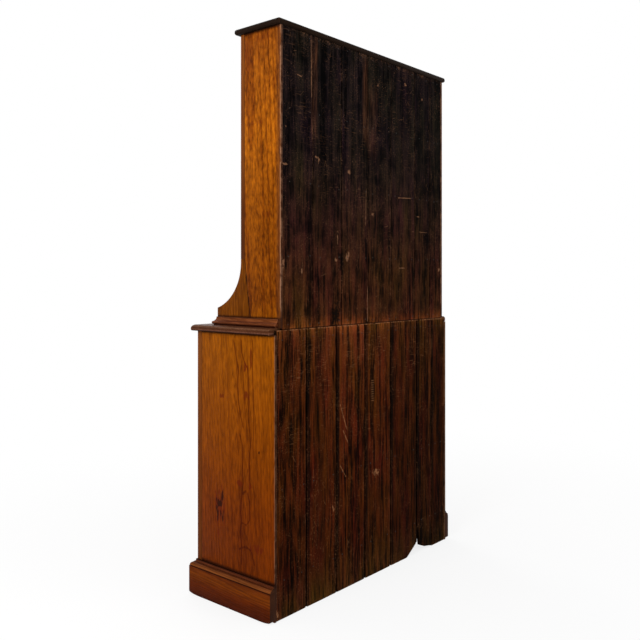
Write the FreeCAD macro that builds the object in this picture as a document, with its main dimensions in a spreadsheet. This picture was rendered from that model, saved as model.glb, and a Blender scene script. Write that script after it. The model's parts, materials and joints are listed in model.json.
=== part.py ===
import FreeCAD, Part
import os
import Sketcher

# Kitchen dresser in two stages: a cupboard base with two drawers over two doors,
# and an open plate rack on shaped brackets, both closed by upright back boards.
# Millimetres. X runs along the width, the front faces -Y, the back +Y, Z is up.
# The origin lies on the floor, under the middle of the whole piece.

SIZES = {
    # Whole piece
    "overall_height": 2000,
    "base_width": 1068,
    "base_depth": 385,
    "cut_overrun": 5,
    "seat_clearance": 0.3,
    # Worktop
    "worktop_level": 968,
    "worktop_thick": 22,
    "worktop_overhang": 18,
    "worktop_upper_round": 14,
    "worktop_lower_round": 5,
    # Base carcass
    "side_thick": 22,
    "frame_thick": 22,
    "stile_width": 60,
    "muntin_width": 60,
    "top_rail_height": 28,
    "drawer_opening_height": 140,
    "blade_thick": 24,
    "blade_depth": 60,
    "floor_level": 142,
    "floor_thick": 20,
    "bottom_rail_height": 64,
    "shelf_level": 440,
    "shelf_thick": 18,
    "shelf_setback": 60,
    "housing_depth": 6,
    "tenon_length": 28,
    "muntin_tenon_length": 12,
    "tenon_thick": 8,
    "tenon_shoulder": 4,
    # Back boards
    "back_thick": 12,
    "back_edge": 9,
    "lap_width": 14,
    "seam_gap": 5,
    "lap_clearance": 1,
    "board_lift": 1.5,
    "stage_seam_level": 962,
    "stage_seam_gap": 0.8,
    "broken_corner_height": 40,
    "broken_wedge_height": 119,
    # Plinth
    "plinth_height": 122,
    "plinth_projection": 22,
    "plinth_face_height": 99,
    "plinth_quirk_depth": 1.5,
    "plinth_quirk_height": 2,
    "plinth_ovolo": 11,
    "plinth_fillet": 2,
    "plinth_cove": 5,
    # Rack
    "rack_inset": 28,
    "rack_depth": 190,
    "rack_side_thick": 20,
    "rack_front_thick": 18,
    "rack_stile_width": 45,
    "rack_base_thick": 18,
    "rack_shelf_thick": 18,
    "plate_groove_width": 9,
    "plate_groove_depth": 4,
    "plate_groove_setback": 42,
    "foot_depth": 310,
    "foot_lip_height": 62,
    "foot_curve_rise": 161,
    "foot_joint_height": 234,
    "foot_joint_depth": 140,
    "frieze_height": 78,
    "frieze_arch_rise": 26,
    "frieze_arch_margin": 70,
    # Rack base moulding
    "mould_height": 30,
    "mould_projection": 15,
    "mould_foot_height": 4,
    "mould_nose_round": 5.5,
    "mould_quirk_depth": 1,
    "mould_quirk_height": 1.5,
    "mould_top_edge": 3,
    # Top board
    "top_thick": 21,
    "top_side_overhang": 13,
    "top_front_overhang": 18,
    "top_back_overhang": 6,
    "top_upper_round": 9,
    "top_lower_round": 8,
    # Doors
    "door_gap": 2,
    "door_thick": 20,
    "door_stile_width": 70,
    "door_top_rail": 75,
    "door_bottom_rail": 95,
    "door_tenon_length": 45,
    "panel_tongue_thick": 6,
    "panel_groove_depth": 9,
    "panel_float": 1,
    "panel_front_setback": 3,
    "panel_bevel_width": 38,
    "panel_step": 1.5,
    # Hinges
    "leaf_height": 62,
    "leaf_width": 16,
    "leaf_thick": 1.6,
    "leaf_parting": 0.3,
    "barrel_radius": 3.5,
    "hinge_pin_radius": 1.5,
    "hinge_pin_clearance": 0.05,
    "hinge_end_distance": 80,
    # Drawer knobs
    "knob_reach": 30,
    "knob_head_radius": 18,
    "knob_chamfer": 4,
    "knob_edge_thick": 3,
    "knob_undercut": 10,
    "knob_neck_radius": 9,
    "knob_base_radius": 13,
    "knob_base_thick": 5,
    # Turn knobs and latches of the doors
    "door_knob_level": 486,
    "turn_reach": 24,
    "turn_grip_thick": 9,
    "turn_grip_width": 13,
    "turn_grip_rise": 12,
    "turn_neck_radius": 8,
    "spindle_radius": 5,
    "spindle_clearance": 0.06,
    "spindle_socket": 15,
    "tongue_length": 58,
    "tongue_width": 14,
    "tongue_thick": 4,
    "hub_radius": 9,
    "latch_clearance": 0.8,
    # Drawers
    "drawer_gap": 1.5,
    "drawer_front_thick": 20,
    "drawer_side_thick": 12,
    "drawer_back_thick": 12,
    "drawer_bottom_thick": 7,
    "drawer_bottom_lift": 10,
    "drawer_groove_depth": 6,
    "drawer_lap": 6,
    "drawer_rear_space": 14,
    "drawer_side_drop": 5,
    "drawer_knob_spacing": 220,
    "dowel_radius": 7,
    "dowel_clearance": 0.06,
    "runner_width": 50,
    "guide_height": 24,
    "stop_length": 40,
    "stop_depth": 24,
    "stop_thick": 5,
}

# Seams between the back boards, as shares of the width between the rebates,
# counted from the +X side.
BASE_SEAM_SHARES = (0, 0.139, 0.295, 0.456, 0.615, 0.790, 0.899, 1)
RACK_SEAM_SHARES = (0, 0.155, 0.315, 0.475, 0.628, 0.795, 0.908, 1)

# Visible gap at each seam, as shares of the common seam gap.
BASE_GAP_SHARES = (1.5, 1.1, 1.6, 1.2, 1.8, 0.9)
RACK_GAP_SHARES = (0.8, 0.7, 0.7, 0.5, 0.6, 0.5)

# Undersides of the rack shelves, as shares of the height between the top of the
# shaped feet and the top board.
RACK_SHELF_SHARES = (0, 0.32, 0.64)

# Broken foot of the fifth base board and the split at the foot of the sixth:
# shares of the board's width from its +X edge, and of the broken height.
BROKEN_CORNER_SHARES = ((0.53, 0), (0.66, 0.08), (0.79, 0.45), (0.89, 0.73), (1, 1.05))
BROKEN_WEDGE_SHARES = ((0.10, 1), (0.25, 0.22), (0.53, 0.11), (0.77, 0.07), (1, 0.02))

TAIL_COUNT = 3
TAIL_ROOT_SHARE = 0.27
TAIL_TIP_SHARE = 0.36
KNUCKLE_COUNT = 3

doc = FreeCAD.newDocument("KitchenDresser")
sheet = doc.addObject("Spreadsheet::Sheet", "Sizes")
for row, (alias, number) in enumerate(SIZES.items(), 1):
    sheet.set("A%d" % row, alias)
    sheet.set("B%d" % row, str(number))
    sheet.setAlias("B%d" % row, alias)
doc.recompute()


class Size:
    """A length that knows its value and the sheet expression that it follows."""

    def __init__(self, value, text):
        self.value = value
        self.text = text

    def joined(self, sign, other, value):
        return Size(value, "(%s %s %s)" % (self.text, sign, as_size(other).text))

    def __add__(self, other):
        return self.joined("+", other, self.value + as_size(other).value)

    def __radd__(self, other):
        return as_size(other) + self

    def __sub__(self, other):
        return self.joined("-", other, self.value - as_size(other).value)

    def __rsub__(self, other):
        return as_size(other) - self

    def __mul__(self, other):
        return self.joined("*", other, self.value * as_size(other).value)

    def __rmul__(self, other):
        return as_size(other) * self

    def __truediv__(self, other):
        return self.joined("/", other, self.value / as_size(other).value)

    def __neg__(self):
        return Size(-self.value, "(-1 * %s)" % self.text)


def as_size(thing):
    """Wrap a plain ratio or zero so that it joins with sizes."""
    return thing if isinstance(thing, Size) else Size(thing, repr(thing))


def size(alias):
    """Read one driving size from the sheet."""
    return Size(float(sheet.get(alias)), "Sizes." + alias)


class Sizes:
    """Every driving size of the sheet under its own name."""


for alias in SIZES:
    setattr(Sizes, alias, size(alias))
S = Sizes

# Helpers that make the shapes

pieces = []


def bind(thing, prop, length):
    """Let one property follow a size."""
    thing.setExpression(prop, as_size(length).text)


def keep(thing, label):
    """Name one finished sub-part and list it for writing."""
    thing.Label = label
    pieces.append(thing)
    return thing


def block(name, x_span, y_span, z_span):
    """A squared board between two limits on each axis."""
    box = doc.addObject("Part::Box", name)
    spans = (("Length", "x", x_span), ("Width", "y", y_span), ("Height", "z", z_span))
    for prop, axis, (low, high) in spans:
        bind(box, prop, as_size(high) - low)
        bind(box, "Placement.Base." + axis, low)
    return box


def rod(name, radius, start, length, direction):
    """A round bar from a point along Z, or along Y towards the back."""
    bar = doc.addObject("Part::Cylinder", name)
    bind(bar, "Radius", radius)
    bind(bar, "Height", length)
    if direction == "y":
        bar.Placement.Rotation = FreeCAD.Rotation(FreeCAD.Vector(-1, 0, 0), 90)
    for axis, place in zip("xyz", start):
        bind(bar, "Placement.Base." + axis, place)
    return bar


def fused(name, shapes):
    union = doc.addObject("Part::MultiFuse", name)
    union.Shapes = shapes
    return union


def cut(name, base, tools):
    """Take one or more tools out of a base."""
    result = doc.addObject("Part::Cut", name)
    result.Base = base
    result.Tool = tools[0] if len(tools) == 1 else group(name + "_tools", tools)
    return result


def group(name, members):
    """Several loose solids that share one node."""
    bundle = doc.addObject("Part::Compound", name)
    bundle.Links = members
    return bundle


def new_body(name, place):
    """A body at a place given by three sizes."""
    body = doc.addObject("PartDesign::Body", name)
    for axis, length in zip("xyz", place):
        bind(body, "Placement.Base." + axis, length)
    return body


def new_sketch(body, role):
    """A sketch on one of the body's own origin planes."""
    plane = [f for f in body.Origin.OriginFeatures if f.Role == role][0]
    sketch = body.newObject("Sketcher::SketchObject", body.Name + "_sketch")
    sketch.AttachmentSupport = [(plane, "")]
    sketch.MapMode = "FlatFace"
    return sketch


def arc_edge(start, end, centre):
    """The short arc from start to end, and whether it runs anticlockwise."""
    middle = FreeCAD.Vector(centre[0].value, centre[1].value, 0)
    spoke = start - middle
    other = end - middle
    anticlockwise = spoke.cross(other).z > 0
    normal = FreeCAD.Vector(0, 0, 1)
    circle = Part.Circle(middle, normal, spoke.Length)
    first, last = (start, end) if anticlockwise else (end, start)
    span = circle.parameter(first), circle.parameter(last)
    return Part.ArcOfCircle(circle, *span), anticlockwise


def trace(sketch, corners, arcs=None):
    """Close an outline through corners held by sizes.

    arcs maps the number of an edge to the centre of its arc and the axis,
    X or Y, on which that centre is held.
    """
    arcs = arcs or {}
    corners = [(as_size(u), as_size(v)) for u, v in corners]
    points = [FreeCAD.Vector(u.value, v.value, 0) for u, v in corners]
    count = len(corners)
    edges = []
    for i, start in enumerate(points):
        end = points[(i + 1) % count]
        if i in arcs:
            centre = [as_size(c) for c in arcs[i][0]]
            curve, anticlockwise = arc_edge(start, end, centre)
            number = sketch.addGeometry(curve, False)
            edges.append((number, 1, 2) if anticlockwise else (number, 2, 1))
        else:
            number = sketch.addGeometry(Part.LineSegment(start, end), False)
            edges.append((number, 1, 2))
    for i, (number, _, last) in enumerate(edges):
        after, first, _ = edges[(i + 1) % count]
        sketch.addConstraint(Sketcher.Constraint("Coincident", number, last, after, first))
    for (number, first, _), corner in zip(edges, corners):
        hold(sketch, number, first, "X", corner[0])
        hold(sketch, number, first, "Y", corner[1])
    for i, (centre, axis) in arcs.items():
        hold(sketch, edges[i][0], 3, axis, as_size(centre["XY".index(axis)]))


def hold(sketch, geometry, position, axis, length):
    """Hold one point of a sketch at a size from the sketch's origin."""
    kind = "Distance" + axis
    wish = Sketcher.Constraint(kind, -1, 1, geometry, position, length.value)
    number = sketch.addConstraint(wish)
    sketch.setExpression("Constraints[%d]" % number, length.text)


def pad(body, sketch, length, backwards=False, midplane=False):
    feature = body.newObject("PartDesign::Pad", body.Name + "_pad")
    feature.Profile = sketch
    bind(feature, "Length", length)
    feature.Reversed = backwards
    feature.Midplane = midplane
    return feature


def pocket(body, sketch, length, backwards=False, midplane=False):
    feature = body.newObject("PartDesign::Pocket", body.Name + "_pocket")
    feature.Profile = sketch
    bind(feature, "Length", length)
    feature.Reversed = backwards
    feature.Midplane = midplane
    return feature


def rectangle(u_span, v_span):
    (u0, u1), (v0, v1) = u_span, v_span
    return [(u0, v0), (u1, v0), (u1, v1), (u0, v1)]


def arc_radius(reach, rise):
    """Radius of an arc that starts square to its reach and climbs by its rise."""
    return (reach * reach + rise * rise) / (2 * reach)


def rounded(body, base, radius, test):
    """Round the edges of the last feature whose middle point passes a test."""
    doc.recompute()
    names = []
    for number, edge in enumerate(base.Shape.Edges, 1):
        if test(edge.CenterOfMass):
            names.append("Edge%d" % number)
    feature = body.newObject("PartDesign::Fillet", body.Name + "_round")
    feature.Base = (base, names)
    bind(feature, "Radius", radius)
    return feature


# Places that several pieces share

full_depth = S.knob_reach + S.base_depth + S.top_back_overhang
back_y = full_depth / 2 - S.top_back_overhang
front_y = back_y - S.base_depth
frame_back_y = front_y + S.frame_thick
inside_back_y = back_y - S.back_thick

base_half = S.base_width / 2
inner_half = base_half - S.side_thick
opening_half = base_half - S.stile_width
muntin_half = S.muntin_width / 2
base_top = S.worktop_level - S.worktop_thick

drawer_top = base_top - S.top_rail_height
blade_top = drawer_top - S.drawer_opening_height
blade_under = blade_top - S.blade_thick

rack_half = base_half - S.rack_inset
rack_inner = rack_half - S.rack_side_thick
rack_front_y = back_y - S.rack_depth
rack_frame_y = rack_front_y + S.rack_front_thick
rack_top = S.overall_height - S.top_thick
foot_y = back_y - S.foot_depth


# Base carcass

def base_side(label, sign):
    """Side of the base: rebated for the back boards, housed for floor and shelf."""
    body = new_body(label, (sign * inner_half, back_y, 0))
    depth = S.base_depth - S.frame_thick
    profile = new_sketch(body, "YZ_Plane")
    trace(profile, rectangle((-depth, 0), (0, base_top)))
    pad(body, profile, S.side_thick, backwards=sign < 0)

    rebate = new_sketch(body, "YZ_Plane")
    over = S.cut_overrun
    trace(rebate, rectangle((-S.back_thick, over), (-over, base_top + over)))
    pocket(body, rebate, S.side_thick - S.back_edge, backwards=sign > 0)

    housings = new_sketch(body, "YZ_Plane")
    floor_span = (S.floor_level - S.floor_thick, S.floor_level)
    trace(housings, rectangle((-depth - over, -S.back_thick), floor_span))
    shelf_front = -depth + S.shelf_setback
    shelf_span = (S.shelf_level - S.shelf_thick, S.shelf_level)
    trace(housings, rectangle((shelf_front, -S.back_thick), shelf_span))
    pocket(body, housings, S.housing_depth, backwards=sign > 0)
    return keep(body, label)


base_side("base_side_right", 1)
base_side("base_side_left", -1)

housed_half = inner_half + S.housing_depth
keep(
    block(
        "base_floor",
        (-housed_half, housed_half),
        (frame_back_y, inside_back_y),
        (S.floor_level - S.floor_thick, S.floor_level),
    ),
    "base_floor",
)
keep(
    block(
        "cupboard_shelf",
        (-housed_half, housed_half),
        (frame_back_y + S.shelf_setback, inside_back_y),
        (S.shelf_level - S.shelf_thick, S.shelf_level),
    ),
    "cupboard_shelf",
)


# Face frame: rails tenoned into the stiles, muntins tenoned into the rails

tenon_y = front_y + (S.frame_thick - S.tenon_thick) / 2


def rail_with_tenons(label, depth, low, high, mortises):
    """A rail between the stiles with a tenon at each end and mortises in it."""
    body = block(label + "_board", (-opening_half, opening_half), (front_y, front_y + depth), (low, high))
    tenons = []
    for end in (-1, 1):
        near, far = end * opening_half, end * (opening_half + S.tenon_length)
        tenons.append(
            block(
                label + "_tenon",
                (near, far) if end > 0 else (far, near),
                (tenon_y, tenon_y + S.tenon_thick),
                (low + S.tenon_shoulder, high - S.tenon_shoulder),
            )
        )
    rail = fused(label + "_with_tenons", [body] + tenons)
    keep(cut(label, rail, mortises), label)
    return tenons


def muntin_tenon(name, level, downwards):
    """A stub tenon on a muntin, up or down from the shoulder's level."""
    tip = level - S.muntin_tenon_length if downwards else level + S.muntin_tenon_length
    return block(
        name,
        (-muntin_half + S.tenon_shoulder, muntin_half - S.tenon_shoulder),
        (tenon_y, tenon_y + S.tenon_thick),
        (tip, level) if downwards else (level, tip),
    )


drawer_muntin_tenons = [
    muntin_tenon("drawer_muntin_upper_tenon", drawer_top, False),
    muntin_tenon("drawer_muntin_lower_tenon", blade_top, True),
]
door_muntin_tenons = [
    muntin_tenon("door_muntin_upper_tenon", blade_under, False),
    muntin_tenon("door_muntin_lower_tenon", S.floor_level, True),
]
# The two stub tenons in the blade stop short of each other.
blade_mortises = [drawer_muntin_tenons[1]]
door_muntin_tenons[0].setExpression("Height", (S.muntin_tenon_length / 2).text)
blade_mortises.append(door_muntin_tenons[0])

stile_mortises = []
stile_mortises += rail_with_tenons(
    "top_rail", S.frame_thick, drawer_top, base_top, [drawer_muntin_tenons[0]]
)
stile_mortises += rail_with_tenons("drawer_blade", S.blade_depth, blade_under, blade_top, blade_mortises)
stile_mortises += rail_with_tenons(
    "bottom_rail",
    S.frame_thick,
    S.floor_level - S.bottom_rail_height,
    S.floor_level,
    [door_muntin_tenons[1]],
)

frame_span = (front_y, frame_back_y)
muntin_span = (-muntin_half, muntin_half)
drawer_muntin = fused(
    "drawer_muntin",
    [block("drawer_muntin_board", muntin_span, frame_span, (blade_top, drawer_top))] + drawer_muntin_tenons,
)
door_muntin = fused(
    "door_muntin",
    [block("door_muntin_board", muntin_span, frame_span, (S.floor_level, blade_under))] + door_muntin_tenons,
)
keep(group("muntins", [drawer_muntin, door_muntin]), "muntins")


# Door and hinge places

door_low = S.floor_level + S.door_gap
door_high = blade_under - S.door_gap
hinge_lows = (
    door_low + S.hinge_end_distance,
    door_high - S.hinge_end_distance - S.leaf_height,
)
leaf_recess = S.leaf_thick - (S.door_gap - S.leaf_parting) / 2
pin_y = front_y - S.barrel_radius - S.seat_clearance


def mirrored_span(sign, near, far):
    """A span on X that starts at the middle side and mirrors with the sign."""
    return (sign * near, sign * far) if sign > 0 else (sign * far, sign * near)


def leaf_pocket(name, sign, near, far):
    """Shallow recesses for the two leaves on one edge."""
    over = S.cut_overrun
    return [
        block(
            name,
            mirrored_span(sign, near, far),
            (front_y - over, front_y + S.leaf_width),
            (low, low + S.leaf_height),
        )
        for low in hinge_lows
    ]


def base_stile(name, sign):
    """One stile of the face frame, mortised for the rails, recessed for hinges."""
    board = block(name + "_board", mirrored_span(sign, opening_half, base_half), frame_span, (0, base_top))
    recesses = leaf_pocket(name + "_recess", sign, opening_half - S.cut_overrun, opening_half + leaf_recess)
    return cut(name, board, stile_mortises + recesses)


keep(group("base_stiles", [base_stile("stile_right", 1), base_stile("stile_left", -1)]), "base_stiles")


# Runners, guides, kickers and stops of the drawers

rear_limit = inside_back_y - S.seat_clearance
blade_back_y = front_y + S.blade_depth


def batten_set(label, z_span, start_y, edge_span, centre_half):
    """One batten at each side of the carcass and one in the middle."""
    battens = [block(label + "_centre", (-centre_half, centre_half), (start_y, rear_limit), z_span)]
    for sign in (1, -1):
        span = mirrored_span(sign, *edge_span)
        battens.append(block(label + "_edge", span, (start_y, rear_limit), z_span))
    return keep(group(label, battens), label)


runner_inner = inner_half - S.runner_width
runner_half = muntin_half + S.runner_width / 2
batten_set("drawer_runners", (blade_under, blade_top), blade_back_y, (runner_inner, inner_half), runner_half)
batten_set(
    "drawer_guides",
    (blade_top, blade_top + S.guide_height),
    blade_back_y,
    (opening_half, inner_half),
    muntin_half,
)
batten_set("drawer_kickers", (drawer_top, base_top), frame_back_y, (runner_inner, inner_half), runner_half)


def stop_block(sign, centre, start, z_span):
    """A small block that stops a drawer front or a door."""
    return block(
        "stop_block",
        mirrored_span(sign, centre - S.stop_length / 2, centre + S.stop_length / 2),
        (start, start + S.stop_depth),
        z_span,
    )


door_centre = (muntin_half + opening_half) / 2
drawer_stop_y = front_y + S.drawer_front_thick + S.seat_clearance
door_stop_y = front_y + S.door_thick + S.seat_clearance
stops = []
for sign in (1, -1):
    stops.append(stop_block(sign, door_centre, drawer_stop_y, (blade_top, blade_top + S.stop_thick)))
    door_stop_span = (blade_under - S.stop_thick - S.door_gap, blade_under)
    stops.append(stop_block(sign, door_centre, door_stop_y, door_stop_span))
keep(group("stop_blocks", stops), "stop_blocks")


# Worktop

def edged_board(label, place, x_span, y_span, thick, upper_round, lower_round, back_too):
    """A board with a rounded edge along its front and its two ends."""
    body = new_body(label, place)
    outline = new_sketch(body, "XY_Plane")
    trace(outline, rectangle(x_span, y_span))
    board = pad(body, outline, thick)

    def on_edge(point, level):
        ends = min(abs(point.x - x_span[0].value), abs(point.x - x_span[1].value))
        front = abs(point.y - y_span[0].value)
        back = abs(point.y - y_span[1].value)
        near = min(ends, front, back) if back_too else min(ends, front)
        return near < 0.001 and abs(point.z - level) < 0.001

    upper = rounded(body, board, upper_round, lambda point: on_edge(point, thick.value))
    rounded(body, upper, lower_round, lambda point: on_edge(point, 0))
    return keep(body, label)


worktop_half = base_half + S.worktop_overhang
edged_board(
    "worktop",
    (0, back_y, base_top),
    (-worktop_half, worktop_half),
    (-S.base_depth - S.worktop_overhang, -S.back_thick),
    S.worktop_thick,
    S.worktop_upper_round,
    S.worktop_lower_round,
    False,
)


# Plinth and rack base moulding: one section each, mitred at the front corners

def plinth_section(sign):
    """Outline of the plinth, out from the carcass: face, quirk, ovolo and cove."""
    face = S.plinth_projection
    level = S.plinth_face_height
    quirk = face - S.plinth_quirk_depth
    ovolo_low = level + S.plinth_quirk_height
    ovolo_in = quirk - S.plinth_ovolo
    ovolo_high = ovolo_low + S.plinth_ovolo
    cove_low = ovolo_high + S.plinth_fillet
    cove_in = ovolo_in - S.plinth_cove
    cove_high = cove_low + S.plinth_cove
    corners = [
        (0, 0),
        (face, 0),
        (face, level),
        (quirk, level),
        (quirk, ovolo_low),
        (ovolo_in, ovolo_high),
        (ovolo_in, cove_low),
        (cove_in, cove_high),
        (cove_in, S.plinth_height),
        (0, S.plinth_height),
    ]
    arcs = {4: ((ovolo_in, ovolo_low), "X"), 6: ((ovolo_in, cove_high), "X")}
    return signed_section(corners, arcs, sign)


def mould_section(sign):
    """Outline of the rack's base moulding: foot, round nose, quirk and hollow."""
    nose = S.mould_projection
    foot = nose - S.mould_nose_round
    nose_middle = S.mould_foot_height + S.mould_nose_round
    nose_high = nose_middle + S.mould_nose_round
    hollow_out = foot - S.mould_quirk_depth
    hollow_low = nose_high + S.mould_quirk_height
    hollow_high = S.mould_height - S.mould_top_edge
    corners = [
        (0, 0),
        (foot, 0),
        (foot, S.mould_foot_height),
        (nose, nose_middle),
        (foot, nose_high),
        (hollow_out, nose_high),
        (hollow_out, hollow_low),
        (S.mould_top_edge, hollow_high),
        (S.mould_top_edge, S.mould_height),
        (0, S.mould_height),
    ]
    radius = arc_radius(hollow_out - S.mould_top_edge, hollow_high - hollow_low)
    arcs = {
        2: ((foot, nose_middle), "X"),
        3: ((foot, nose_middle), "X"),
        6: ((S.mould_top_edge + radius, hollow_high), "Y"),
    }
    return signed_section(corners, arcs, sign)


def signed_section(corners, arcs, sign):
    """Mirror a section across the vertical axis where the sign asks for it."""
    flipped = [(sign * as_size(u), v) for u, v in corners]
    turned = {edge: ((sign * centre[0], centre[1]), axis) for edge, (centre, axis) in arcs.items()}
    return flipped, turned


def front_moulding(label, section, half, front, level, projection, height):
    """A moulding across the front with a mitre at both ends."""
    body = new_body(label, (0, front, level))
    profile = new_sketch(body, "YZ_Plane")
    trace(profile, *section(-1))
    pad(body, profile, 2 * (half + projection), midplane=True)
    over = S.cut_overrun
    mitres = new_sketch(body, "XY_Plane")
    for sign in (1, -1):
        corners = [
            (sign * (half - over), over),
            (sign * (half + projection + over), over),
            (sign * (half + projection + over), -projection - over),
        ]
        trace(mitres, corners)
    pocket(body, mitres, 2 * (height + over), midplane=True)
    return keep(body, label)


def side_moulding(name, section, sign, half, front, rear, level, projection, height):
    """A moulding along one side, mitred to the front one and square behind."""
    body = new_body(name, (sign * half, rear, level))
    profile = new_sketch(body, "XZ_Plane")
    trace(profile, *section(sign))
    length = rear - front
    pad(body, profile, length + projection)
    over = S.cut_overrun
    mitre = new_sketch(body, "XY_Plane")
    corners = [
        (-over * sign, over - length),
        (sign * (projection + over), -length - projection - over),
        (-over * sign, -length - projection - over),
    ]
    trace(mitre, corners)
    pocket(body, mitre, 2 * (height + over), midplane=True)
    return body


front_moulding(
    "plinth_front", plinth_section, base_half, front_y, as_size(0), S.plinth_projection, S.plinth_height
)
plinth_returns = []
mould_returns = []
for sign, side in ((1, "right"), (-1, "left")):
    plinth_returns.append(
        side_moulding(
            "plinth_" + side,
            plinth_section,
            sign,
            base_half,
            front_y,
            back_y,
            as_size(0),
            S.plinth_projection,
            S.plinth_height,
        )
    )
    mould_returns.append(
        side_moulding(
            "rack_mould_" + side,
            mould_section,
            sign,
            rack_half,
            foot_y,
            inside_back_y,
            S.worktop_level,
            S.mould_projection,
            S.mould_height,
        )
    )
keep(group("plinth_returns", plinth_returns), "plinth_returns")
keep(group("rack_side_moulds", mould_returns), "rack_side_moulds")
front_moulding(
    "rack_front_mould", mould_section, rack_half, foot_y, S.worktop_level, S.mould_projection, S.mould_height
)


# Back boards, half-lapped so that a gap shows only the tongue behind it

def back_board(label, half, shares, gaps, index, low, high):
    """One upright board; its tongue reaches under the next board's lap."""
    width = 2 * half
    right = shares[index] * width
    left = shares[index + 1] * width
    board_width = left - right
    first = index == 0
    last = index == len(shares) - 2
    step = S.back_thick / 2
    face_start = as_size(0) if first else gaps[index - 1] * S.seam_gap
    back_start = as_size(0) if first else S.lap_width + S.lap_clearance
    tongue_end = board_width if last else board_width + S.lap_width
    body = new_body(label, (half - right, back_y, low))
    plan = new_sketch(body, "XY_Plane")
    corners = [(-face_start, 0), (-face_start, -step), (-back_start, -step), (-back_start, -2 * step)]
    if first:
        corners = [(0, 0), (0, -2 * step)]
    if last:
        corners += [(-board_width, -2 * step), (-board_width, 0)]
    else:
        corners += [
            (-tongue_end, -2 * step),
            (-tongue_end, -step),
            (-board_width, -step),
            (-board_width, 0),
        ]
    trace(plan, corners)
    pad(body, plan, high - low)
    return body, board_width


def broken_foot(body, outline):
    """Take a broken corner out of the foot of a board, through its thickness."""
    loss = new_sketch(body, "XZ_Plane")
    trace(loss, outline)
    pocket(body, loss, 2 * (S.back_thick + S.cut_overrun), midplane=True)


def back_stage(prefix, half, shares, gaps, low, high):
    """All the boards of one stage, from the +X side to the -X side."""
    made = []
    for index in range(len(shares) - 1):
        label = "%s_back_board_%d" % (prefix, index + 1)
        made.append(back_board(label, half, shares, gaps, index, low, high))
        keep(made[-1][0], label)
    return made


base_back_half = inner_half + S.side_thick - S.back_edge
rack_back_half = rack_half - S.back_edge
base_boards = back_stage(
    "base", base_back_half, BASE_SEAM_SHARES, BASE_GAP_SHARES, S.board_lift, S.stage_seam_level
)
back_stage(
    "rack",
    rack_back_half,
    RACK_SEAM_SHARES,
    RACK_GAP_SHARES,
    S.stage_seam_level + S.stage_seam_gap,
    rack_top,
)

corner_body, corner_width = base_boards[4]
corner_outline = [(-u * corner_width, v * S.broken_corner_height) for u, v in BROKEN_CORNER_SHARES]
corner_edge = corner_width + S.lap_width + S.cut_overrun
corner_outline[0] = (corner_outline[0][0], -S.cut_overrun)
corner_outline += [(-corner_edge, corner_outline[-1][1]), (-corner_edge, -S.cut_overrun)]
broken_foot(corner_body, corner_outline)

wedge_body, wedge_width = base_boards[5]
wedge_outline = [(-u * wedge_width, v * S.broken_wedge_height) for u, v in BROKEN_WEDGE_SHARES]
wedge_outline += [(-wedge_width, -S.cut_overrun), (S.cut_overrun, -S.cut_overrun)]
wedge_outline += [(S.cut_overrun, S.broken_wedge_height)]
broken_foot(wedge_body, wedge_outline)


# Rack

foot_top = S.worktop_level + S.foot_joint_height
shelf_lows = [foot_top + share * (rack_top - foot_top) for share in RACK_SHELF_SHARES]


def rack_side(label, sign):
    """Side of the rack; its foot slopes back where the bracket is glued on."""
    body = new_body(label, (sign * rack_inner, back_y, S.worktop_level))
    front = -(S.rack_depth - S.rack_front_thick)
    height = rack_top - S.worktop_level
    profile = new_sketch(body, "YZ_Plane")
    corners = [
        (0, 0),
        (-S.foot_joint_depth, 0),
        (front, S.foot_joint_height),
        (front, height),
        (0, height),
    ]
    trace(profile, corners)
    pad(body, profile, S.rack_side_thick, backwards=sign < 0)

    over = S.cut_overrun
    rebate = new_sketch(body, "YZ_Plane")
    trace(rebate, rectangle((-S.back_thick, over), (-over, height + over)))
    pocket(body, rebate, S.rack_side_thick - S.back_edge, backwards=sign > 0)

    housings = new_sketch(body, "YZ_Plane")
    for low in shelf_lows:
        level = low - S.worktop_level
        span = (level, level + S.rack_shelf_thick)
        trace(housings, rectangle((front - over, -S.back_thick), span))
    pocket(body, housings, S.housing_depth, backwards=sign > 0)
    return keep(body, label)


def rack_bracket(label, sign):
    """Shaped foot in front of the side, hollowed by one arc down to its lip."""
    body = new_body(label, (sign * rack_inner, back_y, S.worktop_level))
    profile = new_sketch(body, "YZ_Plane")
    radius = arc_radius(S.foot_depth - S.rack_depth, S.foot_curve_rise)
    curve_top = S.foot_lip_height + S.foot_curve_rise
    corners = [
        (-S.foot_joint_depth, 0),
        (-S.foot_depth, 0),
        (-S.foot_depth, S.foot_lip_height),
        (-S.rack_depth, curve_top),
        (-S.rack_depth, S.foot_joint_height),
        (-(S.rack_depth - S.rack_front_thick), S.foot_joint_height),
    ]
    trace(profile, corners, {2: ((-S.rack_depth - radius, curve_top), "Y")})
    pad(body, profile, S.rack_side_thick, backwards=sign < 0)
    return keep(body, label)


for sign, side in ((1, "right"), (-1, "left")):
    rack_side("rack_side_" + side, sign)
    rack_bracket("rack_bracket_" + side, sign)

rack_stile_inner = rack_half - S.rack_stile_width
rack_stiles = [
    block(
        "rack_stile",
        mirrored_span(sign, rack_stile_inner, rack_half),
        (rack_front_y, rack_frame_y),
        (foot_top, rack_top),
    )
    for sign in (1, -1)
]
keep(group("rack_stiles", rack_stiles), "rack_stiles")

keep(
    block(
        "rack_base_board",
        (-rack_inner, rack_inner),
        (foot_y, inside_back_y),
        (S.worktop_level, S.worktop_level + S.rack_base_thick),
    ),
    "rack_base_board",
)


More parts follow.
